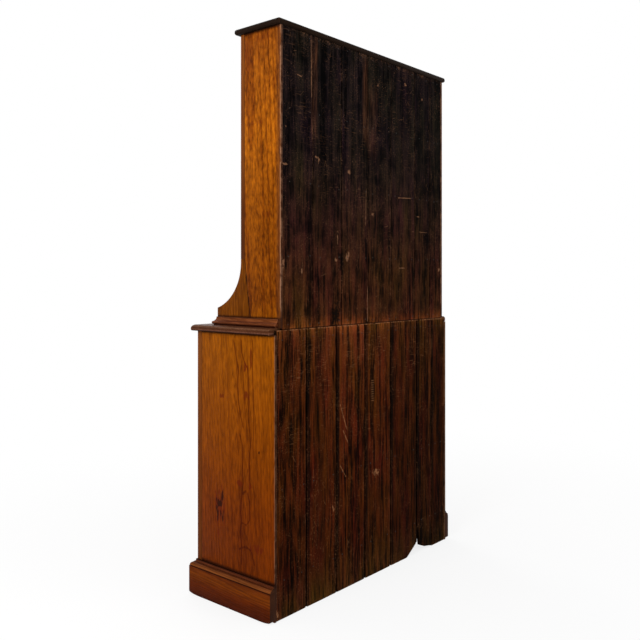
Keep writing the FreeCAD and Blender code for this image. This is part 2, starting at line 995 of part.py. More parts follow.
def rack_shelf(label, low):
    """Shelf housed in both sides, with a plate groove along its back."""
    half = rack_inner + S.housing_depth
    board = block(
        label + "_board", (-half, half), (rack_frame_y, inside_back_y), (low, low + S.rack_shelf_thick)
    )
    groove_y = inside_back_y - S.plate_groove_setback
    groove = block(
        label + "_groove",
        (-rack_inner, rack_inner),
        (groove_y, groove_y + S.plate_groove_width),
        (low + S.rack_shelf_thick - S.plate_groove_depth, low + S.rack_shelf_thick + S.cut_overrun),
    )
    return keep(cut(label, board, [groove]), label)


for label, low in zip(("rack_shelf_lower", "rack_shelf_middle", "rack_shelf_upper"), shelf_lows):
    rack_shelf(label, low)


def rack_frieze(label):
    """Top rail of the rack between the stiles, its lower edge a long flat arch."""
    body = new_body(label, (0, rack_frame_y, rack_top - S.frieze_height))
    half = rack_stile_inner
    arch_half = half - S.frieze_arch_margin
    rise = S.frieze_arch_rise
    radius = arc_radius(rise, arch_half)
    corners = [
        (half, 0),
        (half, S.frieze_height),
        (-half, S.frieze_height),
        (-half, 0),
        (-arch_half, 0),
        (0, rise),
        (arch_half, 0),
    ]
    centre = (0, rise - radius)
    profile = new_sketch(body, "XZ_Plane")
    trace(profile, corners, {4: (centre, "X"), 5: (centre, "X")})
    pad(body, profile, S.rack_front_thick)
    return keep(body, label)


rack_frieze("rack_frieze")

top_half = rack_half + S.top_side_overhang
edged_board(
    "top_board",
    (0, back_y, rack_top),
    (-top_half, top_half),
    (-S.rack_depth - S.top_front_overhang, S.top_back_overhang),
    S.top_thick,
    S.top_upper_round,
    S.top_lower_round,
    True,
)


# Turned knobs of the drawers

def turned_knob(name, place):
    """A flat-faced knob turned about Y, with its dowel behind it."""
    body = new_body(name, place)
    profile = new_sketch(body, "XY_Plane")
    edge_front = -S.knob_reach + S.knob_chamfer
    edge_back = edge_front + S.knob_edge_thick
    corners = [
        (0, -S.knob_reach),
        (S.knob_head_radius - S.knob_chamfer, -S.knob_reach),
        (S.knob_head_radius, edge_front),
        (S.knob_head_radius, edge_back),
        (S.knob_neck_radius, edge_back + S.knob_undercut),
        (S.knob_neck_radius, -S.knob_base_thick),
        (S.knob_base_radius, -S.knob_base_thick),
        (S.knob_base_radius, -S.seat_clearance),
        (S.dowel_radius, -S.seat_clearance),
        (S.dowel_radius, S.drawer_front_thick),
        (0, S.drawer_front_thick),
    ]
    trace(profile, corners)
    turning = body.newObject("PartDesign::Revolution", name + "_turning")
    turning.Profile = profile
    turning.ReferenceAxis = (profile, ["V_Axis"])
    turning.Angle = 360
    return body


# Doors

def door(side, sign):
    """Frame, fielded panel, hinge leaves, knob and turn latch of one door."""
    name = "door_" + side
    hinge_edge = opening_half - S.door_gap
    free_edge = muntin_half + S.door_gap
    stile_in_hinge = hinge_edge - S.door_stile_width
    stile_in_free = free_edge + S.door_stile_width
    rail_low = door_low + S.door_bottom_rail
    rail_high = door_high - S.door_top_rail
    thick = (front_y, front_y + S.door_thick)
    tongue_low = front_y + (S.door_thick - S.panel_tongue_thick) / 2
    tongue_span = (tongue_low, tongue_low + S.panel_tongue_thick)

    slot = block(
        name + "_panel_slot",
        mirrored_span(sign, stile_in_free - S.panel_groove_depth, stile_in_hinge + S.panel_groove_depth),
        tongue_span,
        (rail_low - S.panel_groove_depth, rail_high + S.panel_groove_depth),
    )

    rails = []
    tenons = []
    for part, low, high, groove_edge in (
        ("top", rail_high, door_high, "low"),
        ("bottom", door_low, rail_low, "high"),
    ):
        sight_span = mirrored_span(sign, stile_in_free, stile_in_hinge)
        board = block(name + "_" + part + "_board", sight_span, thick, (low, high))
        inner_trim = S.panel_groove_depth + S.tenon_shoulder
        tenon_low = low + (inner_trim if groove_edge == "low" else S.tenon_shoulder)
        tenon_high = high - (inner_trim if groove_edge == "high" else S.tenon_shoulder)
        tenon = block(
            name + "_" + part + "_tenon",
            mirrored_span(
                sign,
                stile_in_free - S.door_tenon_length,
                stile_in_hinge + S.door_tenon_length,
            ),
            (tenon_y, tenon_y + S.tenon_thick),
            (tenon_low, tenon_high),
        )
        tenons.append(tenon)
        rails.append(cut(name + "_" + part + "_rail", fused(name + "_" + part, [board, tenon]), [slot]))

    spindle_x = sign * (free_edge + S.door_stile_width / 2)
    spindle_hole = rod(
        name + "_spindle_hole",
        S.spindle_radius + S.spindle_clearance,
        (spindle_x, front_y - S.cut_overrun, S.door_knob_level),
        S.door_thick + 2 * S.cut_overrun,
        "y",
    )
    door_height = (door_low, door_high)
    free_span = mirrored_span(sign, free_edge, stile_in_free)
    free_board = block(name + "_free_board", free_span, thick, door_height)
    free_stile = cut(name + "_free_stile", free_board, tenons + [slot, spindle_hole])
    recesses = leaf_pocket(name + "_recess", sign, hinge_edge - leaf_recess, hinge_edge + S.cut_overrun)
    hinge_span = mirrored_span(sign, stile_in_hinge, hinge_edge)
    hinge_board = block(name + "_hinge_board", hinge_span, thick, door_height)
    hinge_stile = cut(name + "_hinge_stile", hinge_board, tenons + [slot] + recesses)
    keep(group(name + "_frame", rails + [free_stile, hinge_stile]), name + "_frame")

    fielded_panel(name + "_panel", sign, stile_in_free, stile_in_hinge, rail_low, rail_high, tongue_span)
    moving_leaves(name + "_hinge_leaves", sign)
    door_latch(name, spindle_x)


def fielded_panel(label, sign, near, far, low, high, tongue_span):
    """Panel with a raised field, a small step and four bevels to its tongue."""
    reach = S.panel_groove_depth - S.panel_float
    tongue = block(
        label + "_tongue",
        mirrored_span(sign, near - reach, far + reach),
        tongue_span,
        (low - reach, high + reach),
    )
    field_front = front_y + S.panel_front_setback
    bevel = S.panel_bevel_width
    field_span = mirrored_span(sign, near + bevel, far - bevel)
    field = block(label + "_field", field_span, (field_front, tongue_span[0]), (low + bevel, high - bevel))
    slope = doc.addObject("Part::Wedge", label + "_bevels")
    sight = mirrored_span(sign, near, far)
    bind(slope, "Ymin", field_front + S.panel_step)
    bind(slope, "Ymax", tongue_span[0])
    bind(slope, "Xmin", field_span[0])
    bind(slope, "Xmax", field_span[1])
    bind(slope, "Zmin", low + bevel)
    bind(slope, "Zmax", high - bevel)
    bind(slope, "X2min", sight[0])
    bind(slope, "X2max", sight[1])
    bind(slope, "Z2min", low)
    bind(slope, "Z2max", high)
    return keep(fused(label, [tongue, field, slope]), label)


# Butt hinges: the pin is riveted in the knuckles of the fixed leaf

def hinge_leaf(name, sign, low, moving):
    """One leaf with its own knuckles."""
    pin_x = opening_half - S.door_gap / 2
    half_parting = S.leaf_parting / 2
    if moving:
        plate_x = (pin_x - half_parting - S.leaf_thick, pin_x - half_parting)
    else:
        plate_x = (pin_x + half_parting, pin_x + half_parting + S.leaf_thick)
    plate_x = mirrored_span(sign, *plate_x)
    plate = block(name + "_plate", plate_x, (front_y, front_y + S.leaf_width), (low, low + S.leaf_height))
    shapes = [plate]
    pitch = S.leaf_height / KNUCKLE_COUNT
    for index in range(KNUCKLE_COUNT):
        if (index % 2 == 1) != moving:
            continue
        start = low + index * pitch + half_parting
        height = pitch - S.leaf_parting
        shapes.append(rod(name + "_knuckle", S.barrel_radius, (sign * pin_x, pin_y, start), height, "z"))
        shapes.append(block(name + "_web", plate_x, (pin_y, front_y), (start, start + height)))
    return shapes


def moving_leaf(name, sign, low):
    """The leaf on the door, bored to run on the pin."""
    bore = rod(
        name + "_bore",
        S.hinge_pin_radius + S.hinge_pin_clearance,
        (sign * (opening_half - S.door_gap / 2), pin_y, low - S.cut_overrun),
        S.leaf_height + 2 * S.cut_overrun,
        "z",
    )
    return cut(name, fused(name + "_whole", hinge_leaf(name, sign, low, True)), [bore])


def fixed_leaf(name, sign, low):
    """The leaf on the stile, one with the pin that is riveted in its knuckles."""
    half_pitch = S.leaf_height / KNUCKLE_COUNT / 2
    start = (sign * (opening_half - S.door_gap / 2), pin_y, low + half_pitch)
    pin = rod(name + "_pin", S.hinge_pin_radius, start, S.leaf_height - 2 * half_pitch, "z")
    return fused(name, hinge_leaf(name, sign, low, False) + [pin])


def moving_leaves(label, sign):
    leaves = [moving_leaf(label + "_leaf", sign, low) for low in hinge_lows]
    return keep(group(label, leaves), label)


fixed_leaves = [fixed_leaf("fixed_leaf", sign, low) for sign in (1, -1) for low in hinge_lows]
keep(group("hinge_fixed_leaves_and_pins", fixed_leaves), "hinge_fixed_leaves_and_pins")


# Turn knobs of the doors

def turn_knob(name, centre_x):
    """Upright rounded grip on a neck that is socketed for the spindle."""
    level = S.door_knob_level
    grip_y = front_y - S.turn_reach
    neck_y = grip_y + S.turn_grip_thick
    half = S.turn_grip_width / 2
    ends = (level - S.turn_grip_rise, level + S.turn_grip_rise)
    shapes = [block(name + "_grip", (centre_x - half, centre_x + half), (grip_y, neck_y), ends)]
    for end in ends:
        shapes.append(rod(name + "_grip_end", half, (centre_x, grip_y, end), S.turn_grip_thick, "y"))
    neck_length = front_y - S.seat_clearance - neck_y
    shapes.append(rod(name + "_neck", S.turn_neck_radius, (centre_x, neck_y, level), neck_length, "y"))
    socket = rod(
        name + "_socket",
        S.spindle_radius + S.spindle_clearance,
        (centre_x, front_y - S.spindle_socket, level),
        S.spindle_socket,
        "y",
    )
    return keep(cut(name, fused(name + "_whole", shapes), [socket]), name)


def door_latch(name, spindle_x):
    """Turn knob on an iron spindle; the tongue behind the door hangs down at rest."""
    turn_knob(name + "_knob", spindle_x)
    tongue_y = frame_back_y + S.latch_clearance
    spindle = rod(
        name + "_spindle",
        S.spindle_radius,
        (spindle_x, front_y - S.spindle_socket, S.door_knob_level),
        tongue_y + S.tongue_thick - front_y + S.spindle_socket,
        "y",
    )
    hub_start = front_y + S.door_thick + S.seat_clearance
    hub = rod(
        name + "_hub",
        S.hub_radius,
        (spindle_x, hub_start, S.door_knob_level),
        tongue_y + S.tongue_thick - hub_start,
        "y",
    )
    half = S.tongue_width / 2
    tongue = block(
        name + "_tongue",
        (spindle_x - half, spindle_x + half),
        (tongue_y, tongue_y + S.tongue_thick),
        (S.door_knob_level - S.tongue_length, S.door_knob_level),
    )
    keep(fused(name + "_latch", [spindle, hub, tongue]), name + "_latch")


for sign, side in ((1, "right"), (-1, "left")):
    door(side, sign)


# Drawers: lapped dovetails in front, through dovetails behind

def drawer_side(name, sign, outer, front, rear, low, height):
    """A drawer side with tails cut on both of its ends and a bottom groove."""
    body = new_body(name, (sign * outer, front, low))
    length = rear - front
    pitch = height / TAIL_COUNT
    tail_front = S.drawer_front_thick - S.drawer_lap
    tail_back = S.drawer_back_thick
    corners = []
    for index in range(TAIL_COUNT):
        middle = (index + 0.5) * pitch
        root, tip = TAIL_ROOT_SHARE * pitch, TAIL_TIP_SHARE * pitch
        corners += [
            (0, middle - root),
            (-tail_front, middle - tip),
            (-tail_front, middle + tip),
            (0, middle + root),
        ]
    corners += [(0, height), (length, height)]
    for index in reversed(range(TAIL_COUNT)):
        middle = (index + 0.5) * pitch
        root, tip = TAIL_ROOT_SHARE * pitch, TAIL_TIP_SHARE * pitch
        corners += [
            (length, middle + root),
            (length + tail_back, middle + tip),
            (length + tail_back, middle - tip),
            (length, middle - root),
        ]
    corners += [(length, 0), (0, 0)]
    profile = new_sketch(body, "YZ_Plane")
    trace(profile, corners)
    pad(body, profile, S.drawer_side_thick, backwards=sign > 0)
    return body


def drawer(side, sign):
    """Front, dovetailed box with its bottom, and two knobs."""
    name = "drawer_" + side
    inner = muntin_half + S.drawer_gap
    outer = opening_half - S.drawer_gap
    low = blade_top + S.seat_clearance
    side_height = S.drawer_opening_height - S.drawer_gap - S.drawer_side_drop
    face_back = front_y + S.drawer_front_thick
    rear_face = inside_back_y - S.drawer_rear_space
    side_rear = rear_face - S.drawer_back_thick

    sides = [
        drawer_side(name + "_outer_side", sign, outer, face_back, side_rear, low, side_height),
        drawer_side(name + "_inner_side", -sign, -inner, face_back, side_rear, low, side_height),
    ]
    bottom_low = low + S.drawer_bottom_lift
    groove_in = S.drawer_side_thick - S.drawer_groove_depth
    bottom = block(
        name + "_bottom",
        mirrored_span(sign, inner + groove_in, outer - groove_in),
        (face_back - S.drawer_groove_depth, rear_face),
        (bottom_low, bottom_low + S.drawer_bottom_thick),
    )
    grooved = [cut(name + "_grooved_side", each, [bottom]) for each in sides]
    back_board = block(
        name + "_back_board",
        mirrored_span(sign, inner, outer),
        (side_rear, rear_face),
        (bottom_low + S.drawer_bottom_thick, low + side_height - S.drawer_side_drop),
    )
    back = cut(name + "_back", back_board, grooved)
    keep(group(name + "_box", grooved + [back, bottom]), name + "_box")

    front_board = block(
        name + "_front_board",
        mirrored_span(sign, inner, outer),
        (front_y, face_back),
        (blade_top + S.drawer_gap, drawer_top - S.drawer_gap),
    )
    level = (blade_top + drawer_top) / 2
    knobs = []
    holes = []
    for shift in (-1, 1):
        knob_x = sign * door_centre + shift * S.drawer_knob_spacing / 2
        knobs.append(turned_knob(name + "_knob", (knob_x, front_y, level)))
        hole_start = (knob_x, front_y - S.cut_overrun, level)
        hole_radius = S.dowel_radius + S.dowel_clearance
        hole_length = S.drawer_front_thick + 2 * S.cut_overrun
        holes.append(rod(name + "_knob_hole", hole_radius, hole_start, hole_length, "y"))
    keep(cut(name + "_front", front_board, grooved + [bottom] + holes), name + "_front")
    keep(group(name + "_knobs", knobs), name + "_knobs")


for sign, side in ((1, "right"), (-1, "left")):
    drawer(side, sign)

doc.recompute()

# Checks before anything is written

for thing in doc.Objects:
    if "Invalid" in thing.State or "Error" in thing.State:
        raise RuntimeError("%s failed to compute" % thing.Name)
    if thing.TypeId == "PartDesign::Pocket":
        if thing.Shape.Volume >= thing.BaseFeature.Shape.Volume:
            raise RuntimeError("%s cuts nothing" % thing.Name)
for piece in pieces:
    if piece.Shape.isNull() or not piece.Shape.isValid():
        raise RuntimeError("%s has no valid shape" % piece.Label)

os.makedirs("parts", exist_ok=True)
for piece in pieces:
    piece.Shape.exportStep("parts/%s.step" % piece.Label)
print("%d sub-parts written" % len(pieces))
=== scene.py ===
"""Looks of the kitchen dresser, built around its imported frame.

Metres, in the frame of the solid model: X runs along the width, the front
faces -Y, the boarded back +Y, and Z is up.
"""

import json
import logging
import math
from dataclasses import dataclass, replace
from enum import Enum
from functools import partialmethod
from typing import Mapping, Sequence, Union

import bmesh
import bpy
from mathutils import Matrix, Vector, noise

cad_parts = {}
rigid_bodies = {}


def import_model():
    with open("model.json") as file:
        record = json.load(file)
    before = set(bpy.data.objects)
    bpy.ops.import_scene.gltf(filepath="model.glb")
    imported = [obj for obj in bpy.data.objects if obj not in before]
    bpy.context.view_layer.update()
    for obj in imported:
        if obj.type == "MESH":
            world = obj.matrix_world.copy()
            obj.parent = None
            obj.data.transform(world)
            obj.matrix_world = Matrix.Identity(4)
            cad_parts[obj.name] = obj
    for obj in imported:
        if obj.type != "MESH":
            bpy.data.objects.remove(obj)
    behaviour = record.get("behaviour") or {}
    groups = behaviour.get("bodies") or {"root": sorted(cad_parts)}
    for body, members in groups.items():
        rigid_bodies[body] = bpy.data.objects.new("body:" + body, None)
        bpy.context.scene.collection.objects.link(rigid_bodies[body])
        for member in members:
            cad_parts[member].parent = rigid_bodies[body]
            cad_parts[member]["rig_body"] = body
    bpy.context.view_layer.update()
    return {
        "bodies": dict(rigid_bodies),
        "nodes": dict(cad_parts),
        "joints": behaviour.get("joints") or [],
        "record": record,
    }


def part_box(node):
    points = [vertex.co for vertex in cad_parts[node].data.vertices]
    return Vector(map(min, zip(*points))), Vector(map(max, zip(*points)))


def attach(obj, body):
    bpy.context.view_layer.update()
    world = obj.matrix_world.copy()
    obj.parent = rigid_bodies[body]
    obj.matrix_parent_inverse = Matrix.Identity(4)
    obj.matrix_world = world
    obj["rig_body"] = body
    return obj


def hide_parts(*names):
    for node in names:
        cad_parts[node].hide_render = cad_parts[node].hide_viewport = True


LOG = logging.getLogger("dresser")
Pair = tuple[float, float]
Point = tuple[float, float, float]
Colour = tuple[float, float, float, float]
Stops = tuple[tuple[float, Colour], ...]
Value = Union[float, int, Sequence[float], "Wire"]
Sockets = Mapping[Union[str, int], object]

WHITE = (1.0, 1.0, 1.0, 1.0)
PORE_BLACK = (0.03, 0.01, 0.003, 1.0)
# Painted shade in the seams between the back boards, with soiling.
SEAM_SHADE_SOIL_BLACK = (0.0026, 0.0016, 0.0012, 1.0)
# Painted shade in the joint between the stages.
JOINT_SHADE_BLACK = (0.002, 0.0012, 0.001, 1.0)
HOLE_BLACK = (0.003, 0.002, 0.0015, 1.0)


def tone(red: int, green: int, blue: int) -> Colour:
    """Turn a screen colour of 0 to 255 into the linear colour that nodes want.

    Args:
        red: Red part.
        green: Green part.
        blue: Blue part.

    Returns:
        The linear colour with full alpha.
    """

    def linear(part: int) -> float:
        """Linear light of one part."""
        share = part / 255
        return share / 12.92 if share <= 0.04045 else ((share + 0.055) / 1.055) ** 2.4

    return (linear(red), linear(green), linear(blue), 1.0)


def stops(*rows: tuple[float, int, int, int]) -> Stops:
    """Stops of a ramp, from rows of a place and a screen colour."""
    return tuple((place, tone(*colour)) for place, *colour in rows)


class Wire:
    """An output of a node, whose operators add Math nodes to its graph."""

    def __init__(self, graph: "Graph", node: bpy.types.Node, out: int | str = 0) -> None:
        """Keep the node and the number or name of its output."""
        self.graph, self.node, self.out = graph, node, out

    def other(self, out: int | str) -> "Wire":
        """Another output of the same node."""
        return Wire(self.graph, self.node, out)

    def maths(self, operation: str, *others: Value) -> "Wire":
        """Add one Math node on this wire and the given values."""
        return self.graph.maths(operation, self, *others)

    def __rsub__(self, other: Value) -> "Wire":
        """Reflected difference."""
        return self.graph.maths("SUBTRACT", other, self)

    # One Math node each, with this wire as its first value.
    __add__ = __radd__ = partialmethod(maths, "ADD")
    __sub__ = partialmethod(maths, "SUBTRACT")
    __mul__ = __rmul__ = partialmethod(maths, "MULTIPLY")
    __truediv__ = partialmethod(maths, "DIVIDE")
    __pow__ = partialmethod(maths, "POWER")
    __abs__ = partialmethod(maths, "ABSOLUTE")
    fraction = partialmethod(maths, "FRACT")
    root = partialmethod(maths, "SQRT")
    most = partialmethod(maths, "MAXIMUM")


@dataclass(frozen=True)
class Gloss:
    """How one finish shines.

    Args:
        specular: Strength of the plain reflection.
        tint: Colour of the plain reflection.
        metallic: 1 for bare metal.
        coat: Strength of a varnish film.
        bump: Depth of the relief.
    """

    specular: float = 0.035
    tint: Colour = (1.0, 0.45, 0.15, 1.0)
    metallic: float = 0.0
    coat: float = 0.0
    bump: float = 0.0005


class Graph:
    """Node graph of a material, a world or a modifier, written as expressions."""

    def __init__(self, owner: bpy.types.ID) -> None:
        """Empty the tree of a material or world, or a tree that stands alone."""
        self.owner = owner
        if not isinstance(owner, bpy.types.NodeTree):
            owner.use_nodes = True
        self.tree = getattr(owner, "node_tree", owner)
        self.tree.nodes.clear()

    def node(
        self, kind: str, sockets: Sockets | None = None, out: int | str = 0, **settings: object
    ) -> Wire:
        """Add one node.

        Args:
            kind: The node's type.
            sockets: Values or links of its inputs, by name or number.
            out: The output that is wanted.
            settings: Its properties, or the stops of its ramp, which are set first.

        Returns:
            That output.
        """
        made = self.tree.nodes.new(kind)
        for key, value in settings.items():
            if key == "stops":
                self._fill(made.color_ramp, value)
            else:
                setattr(made, key, value)
        for key, value in (sockets or {}).items():
            if isinstance(value, Wire):
                self.tree.links.new(value.node.outputs[value.out], made.inputs[key])
            else:
                made.inputs[key].default_value = value
        return Wire(self, made, out)

    @staticmethod
    def _fill(ramp: bpy.types.ColorRamp, rows: Stops) -> None:
        """Give a colour ramp its stops, in rising order."""
        while len(ramp.elements) < len(rows):
            ramp.elements.new(1.0)
        for element, (place, colour) in zip(ramp.elements, rows):
            element.position = place
            element.color = colour

    def maths(self, operation: str, *values: Value) -> Wire:
        """Add one Math node."""
        return self.node("ShaderNodeMath", dict(enumerate(values)), operation=operation)

    def reckon(self, operation: str, *values: Value, out: int = 0) -> Wire:
        """Add one Vector Math node; its second output is the number."""
        return self.node("ShaderNodeVectorMath", dict(enumerate(values)), out, operation=operation)

    def place(self) -> Wire:
        """Object coordinates of the shaded point."""
        return self.node("ShaderNodeTexCoord", out="Object")

    def split(self, vector: Wire) -> tuple[Wire, Wire, Wire]:
        """The three parts of a vector."""
        first = self.node("ShaderNodeSeparateXYZ", {0: vector})
        return first, first.other(1), first.other(2)

    def vector(self, x: Value, y: Value, z: Value) -> Wire:
        """A vector from three parts."""
        return self.node("ShaderNodeCombineXYZ", {0: x, 1: y, 2: z})

    def attribute(self, name: str, out: str = "Fac") -> Wire:
        """A number stored on the mesh, or its Vector."""
        return self.node("ShaderNodeAttribute", out=out, attribute_name=name)

    def noise(self, x: Value, y: Value, z: Value, detail: float = 2.0, rough: float = 0.5) -> Wire:
        """Smooth noise from 0 to 1, with cells of unit size.

        Args:
            x: First coordinate, counted in cells.
            y: Second coordinate.
            z: Third coordinate.
            detail: Number of finer layers.
            rough: How strong the finer layers are.

        Returns:
            The noise.
        """
        cells = {"Vector": self.vector(x, y, z), "Scale": 1.0}
        return self.node("ShaderNodeTexNoise", {**cells, "Detail": detail, "Roughness": rough})

    def smooth(self, low: float, high: float, value: Wire) -> Wire:
        """Pass softly from 0 at low to 1 at high; low may be the larger one."""
        ends = {0: value, 1: low, 2: high}
        return self.node("ShaderNodeMapRange", ends, interpolation_type="SMOOTHSTEP")

    def mix(self, factor: Value, first: Value, second: Value, blend: str = "MIX") -> Wire:
        """Blend two colours."""
        parts = {0: factor, 6: first, 7: second}
        return self.node("ShaderNodeMix", parts, 2, data_type="RGBA", blend_type=blend)

    def times(self, first: Value, second: Value) -> Wire:
        """Multiply two colours."""
        return self.mix(1.0, first, second, "MULTIPLY")

    def ramp(self, value: Wire, rows: Stops) -> Wire:
        """Colour that follows a value through stops."""
        return self.node("ShaderNodeValToRGB", {0: value}, stops=rows)

    def between(self, value: Wire, ends: Pair, rows: Stops) -> Wire:
        """Colour that follows a value through stops laid between two ends."""
        low, high = ends
        return self.ramp((value - low) / (high - low), rows)

    def seen(self) -> Wire:
        """1 for what the camera sees, directly, by reflection or through glass."""
        path = self.node("ShaderNodeLightPath")
        return path.most(path.other("Is Glossy Ray")).most(path.other("Is Transmission Ray"))

    def shade(self, colour: Value, rough: Value, height: Wire, gloss: Gloss) -> bpy.types.Material:
        """Close a material's graph with one surface shader.

        Args:
            colour: Base colour.
            rough: Roughness.
            height: Relief from 0 to 1.
            gloss: How the finish shines.

        Returns:
            The finished material.
        """
        relief = {"Strength": 1.0, "Distance": gloss.bump, "Height": height}
        sockets = {
            "Base Color": colour,
            "Roughness": rough,
            "Metallic": gloss.metallic,
            "Specular IOR Level": gloss.specular,
            "Specular Tint": gloss.tint,
            "Coat Weight": gloss.coat,
            "Coat Roughness": 0.25,
            "Normal": self.node("ShaderNodeBump", relief),
        }
        surface = self.node("ShaderNodeBsdfPrincipled", sockets)
        self.node("ShaderNodeOutputMaterial", {0: surface})
        return self.owner


class Grain(Enum):
    """Axis that a board's grain follows."""

    X = 0
    Y = 1
    Z = 2


class Face:
    """The flat of a board, where marks lie."""

    def __init__(self, graph: Graph, across: Wire, level: Wire, ragged: Wire) -> None:
        """Keep the two coordinates and the noise that breaks outlines."""
        self.graph, self.across, self.level, self.ragged = graph, across, level, ragged
        self.spot = graph.vector(across, level, 0)

    def union(self, marks: Sequence["Mark"]) -> Value:
        """1 inside any of the marks."""
        total: Value = 0.0
        for mark in marks:
            total = mark.mask(self).most(total)
        return total


@dataclass(frozen=True)
class Blot:
    """A worn or dark spot on the flat of a board.

    Args:
        across: Place across the face.
        level: Height of its middle.
        half_width: Half its width.
        half_height: Half its height.
    """

    across: float
    level: float
    half_width: float
    half_height: float

    def mask(self, face: Face) -> Wire:
        """1 inside the spot, with a ragged edge.

        Args:
            face: Face that it lies on.

        Returns:
            The mask.
        """
        graph = face.graph
        scale = (1 / self.half_width, 1 / self.half_height, 0.0)
        offset = (-self.across * scale[0], -self.level * scale[1], 0.0)
        away = graph.reckon("MULTIPLY_ADD", face.spot, scale, offset)
        return graph.smooth(1.25, 0.75, graph.reckon("LENGTH", away, out=1) + face.ragged)


@dataclass(frozen=True)
class Scratch:
    """A straight thin line on the flat of a board.

    Args:
        start: Across and level of its first end.
        end: Across and level of its other end.
        half_width: Half its width.
        fade: Length over which an end fades.
    """

    start: Pair
    end: Pair
    half_width: float = 0.0015
    fade: float = 0.004

    def mask(self, face: Face) -> Wire:
        """1 along the line, fading to its sides and ends.

        Args:
            face: Face that it lies on.

        Returns:
            The mask.
        """
        graph = face.graph
        start, end = Vector((*self.start, 0.0)), Vector((*self.end, 0.0))
        half, middle = (end - start).length / 2, (start + end) / 2
        run = (end - start).normalized()
        away = []
        for way in (run, Vector((-run.y, run.x, 0.0))):
            place = graph.reckon("DOT_PRODUCT", face.spot, tuple(way), out=1)
            away.append(abs(place - way.dot(middle)))
        ends = graph.smooth(half, half - self.fade, away[0])
        return ends * graph.smooth(1.4, 0.6, away[1] / self.half_width + face.ragged)


@dataclass(frozen=True)
class Ticks:
    """A ladder of short level ticks, left by a tool.

    Args:
        across: Place of its middle.
        half_width: Half the length of a tick.
        low: Height of the lowest tick.
        high: Height of the highest tick.
        pitch: Distance from tick to tick.
        fade: Length over which the ladder fades at its ends.
    """

    across: float
    half_width: float
    low: float
    high: float
    pitch: float = 0.0085
    fade: float = 0.002

    def mask(self, face: Face) -> Wire:
        """1 on a tick, fading to its ends.

        Args:
            face: Face that it lies on.

        Returns:
            The mask.
        """
        graph, level = face.graph, face.level
        side = abs(face.across - self.across) / self.half_width + face.ragged * 0.3
        foot = graph.smooth(self.low, self.low + self.fade, level)
        head = graph.smooth(self.high + self.fade, self.high, level)
        stripe = graph.smooth(0.22, 0.08, abs((level / self.pitch).fraction() - 0.5))
        return graph.smooth(1.2, 0.7, side) * foot * head * stripe * 0.8


@dataclass(frozen=True)
class Course:
    """A winding line that runs down the flat of a board.

    Args:
        points: Across and level of its bends, from the top down.
        half_width: Half its width.
        fade: Length over which an end fades.
    """

    points: tuple[Pair, ...]
    half_width: float = 0.003
    fade: float = 0.01

    def mask(self, face: Face) -> Wire:
        """1 along the line, fading to its sides and ends.

        Args:
            face: Face that it lies on.

        Returns:
            The mask.
        """
        graph, level = face.graph, face.level
        high, low = self.points[0][1], self.points[-1][1]
        # A ramp holds no value below 0, so the bends are stored half a metre over.
        bends = [(place + 0.5, (height - low) / (high - low)) for place, height in self.points]
        rows = [(at, (bend, bend, bend, 1.0)) for bend, at in reversed(bends)]
        middle = graph.between(level, (low, high), rows)
        side = abs(face.across + 0.5 - middle) / self.half_width
        foot = graph.smooth(low, low + self.fade, level)
        head = graph.smooth(high, high - self.fade, level)
        return foot * head * graph.smooth(1.5, 0.5, side + face.ragged * 0.3)


Mark = Union[Blot, Scratch, Ticks, Course]


def blots(*rows: tuple[float, float, float, float]) -> tuple[Blot, ...]:
    """Blots from rows of across, level, half width and half height."""
    return tuple(Blot(*row) for row in rows)


def scratches(*rows: tuple[float, ...]) -> tuple[Scratch, ...]:
    """Scratches from rows of across and level of both ends, then half the width."""
    return tuple(Scratch(row[:2], row[2:4], *row[4:]) for row in rows)


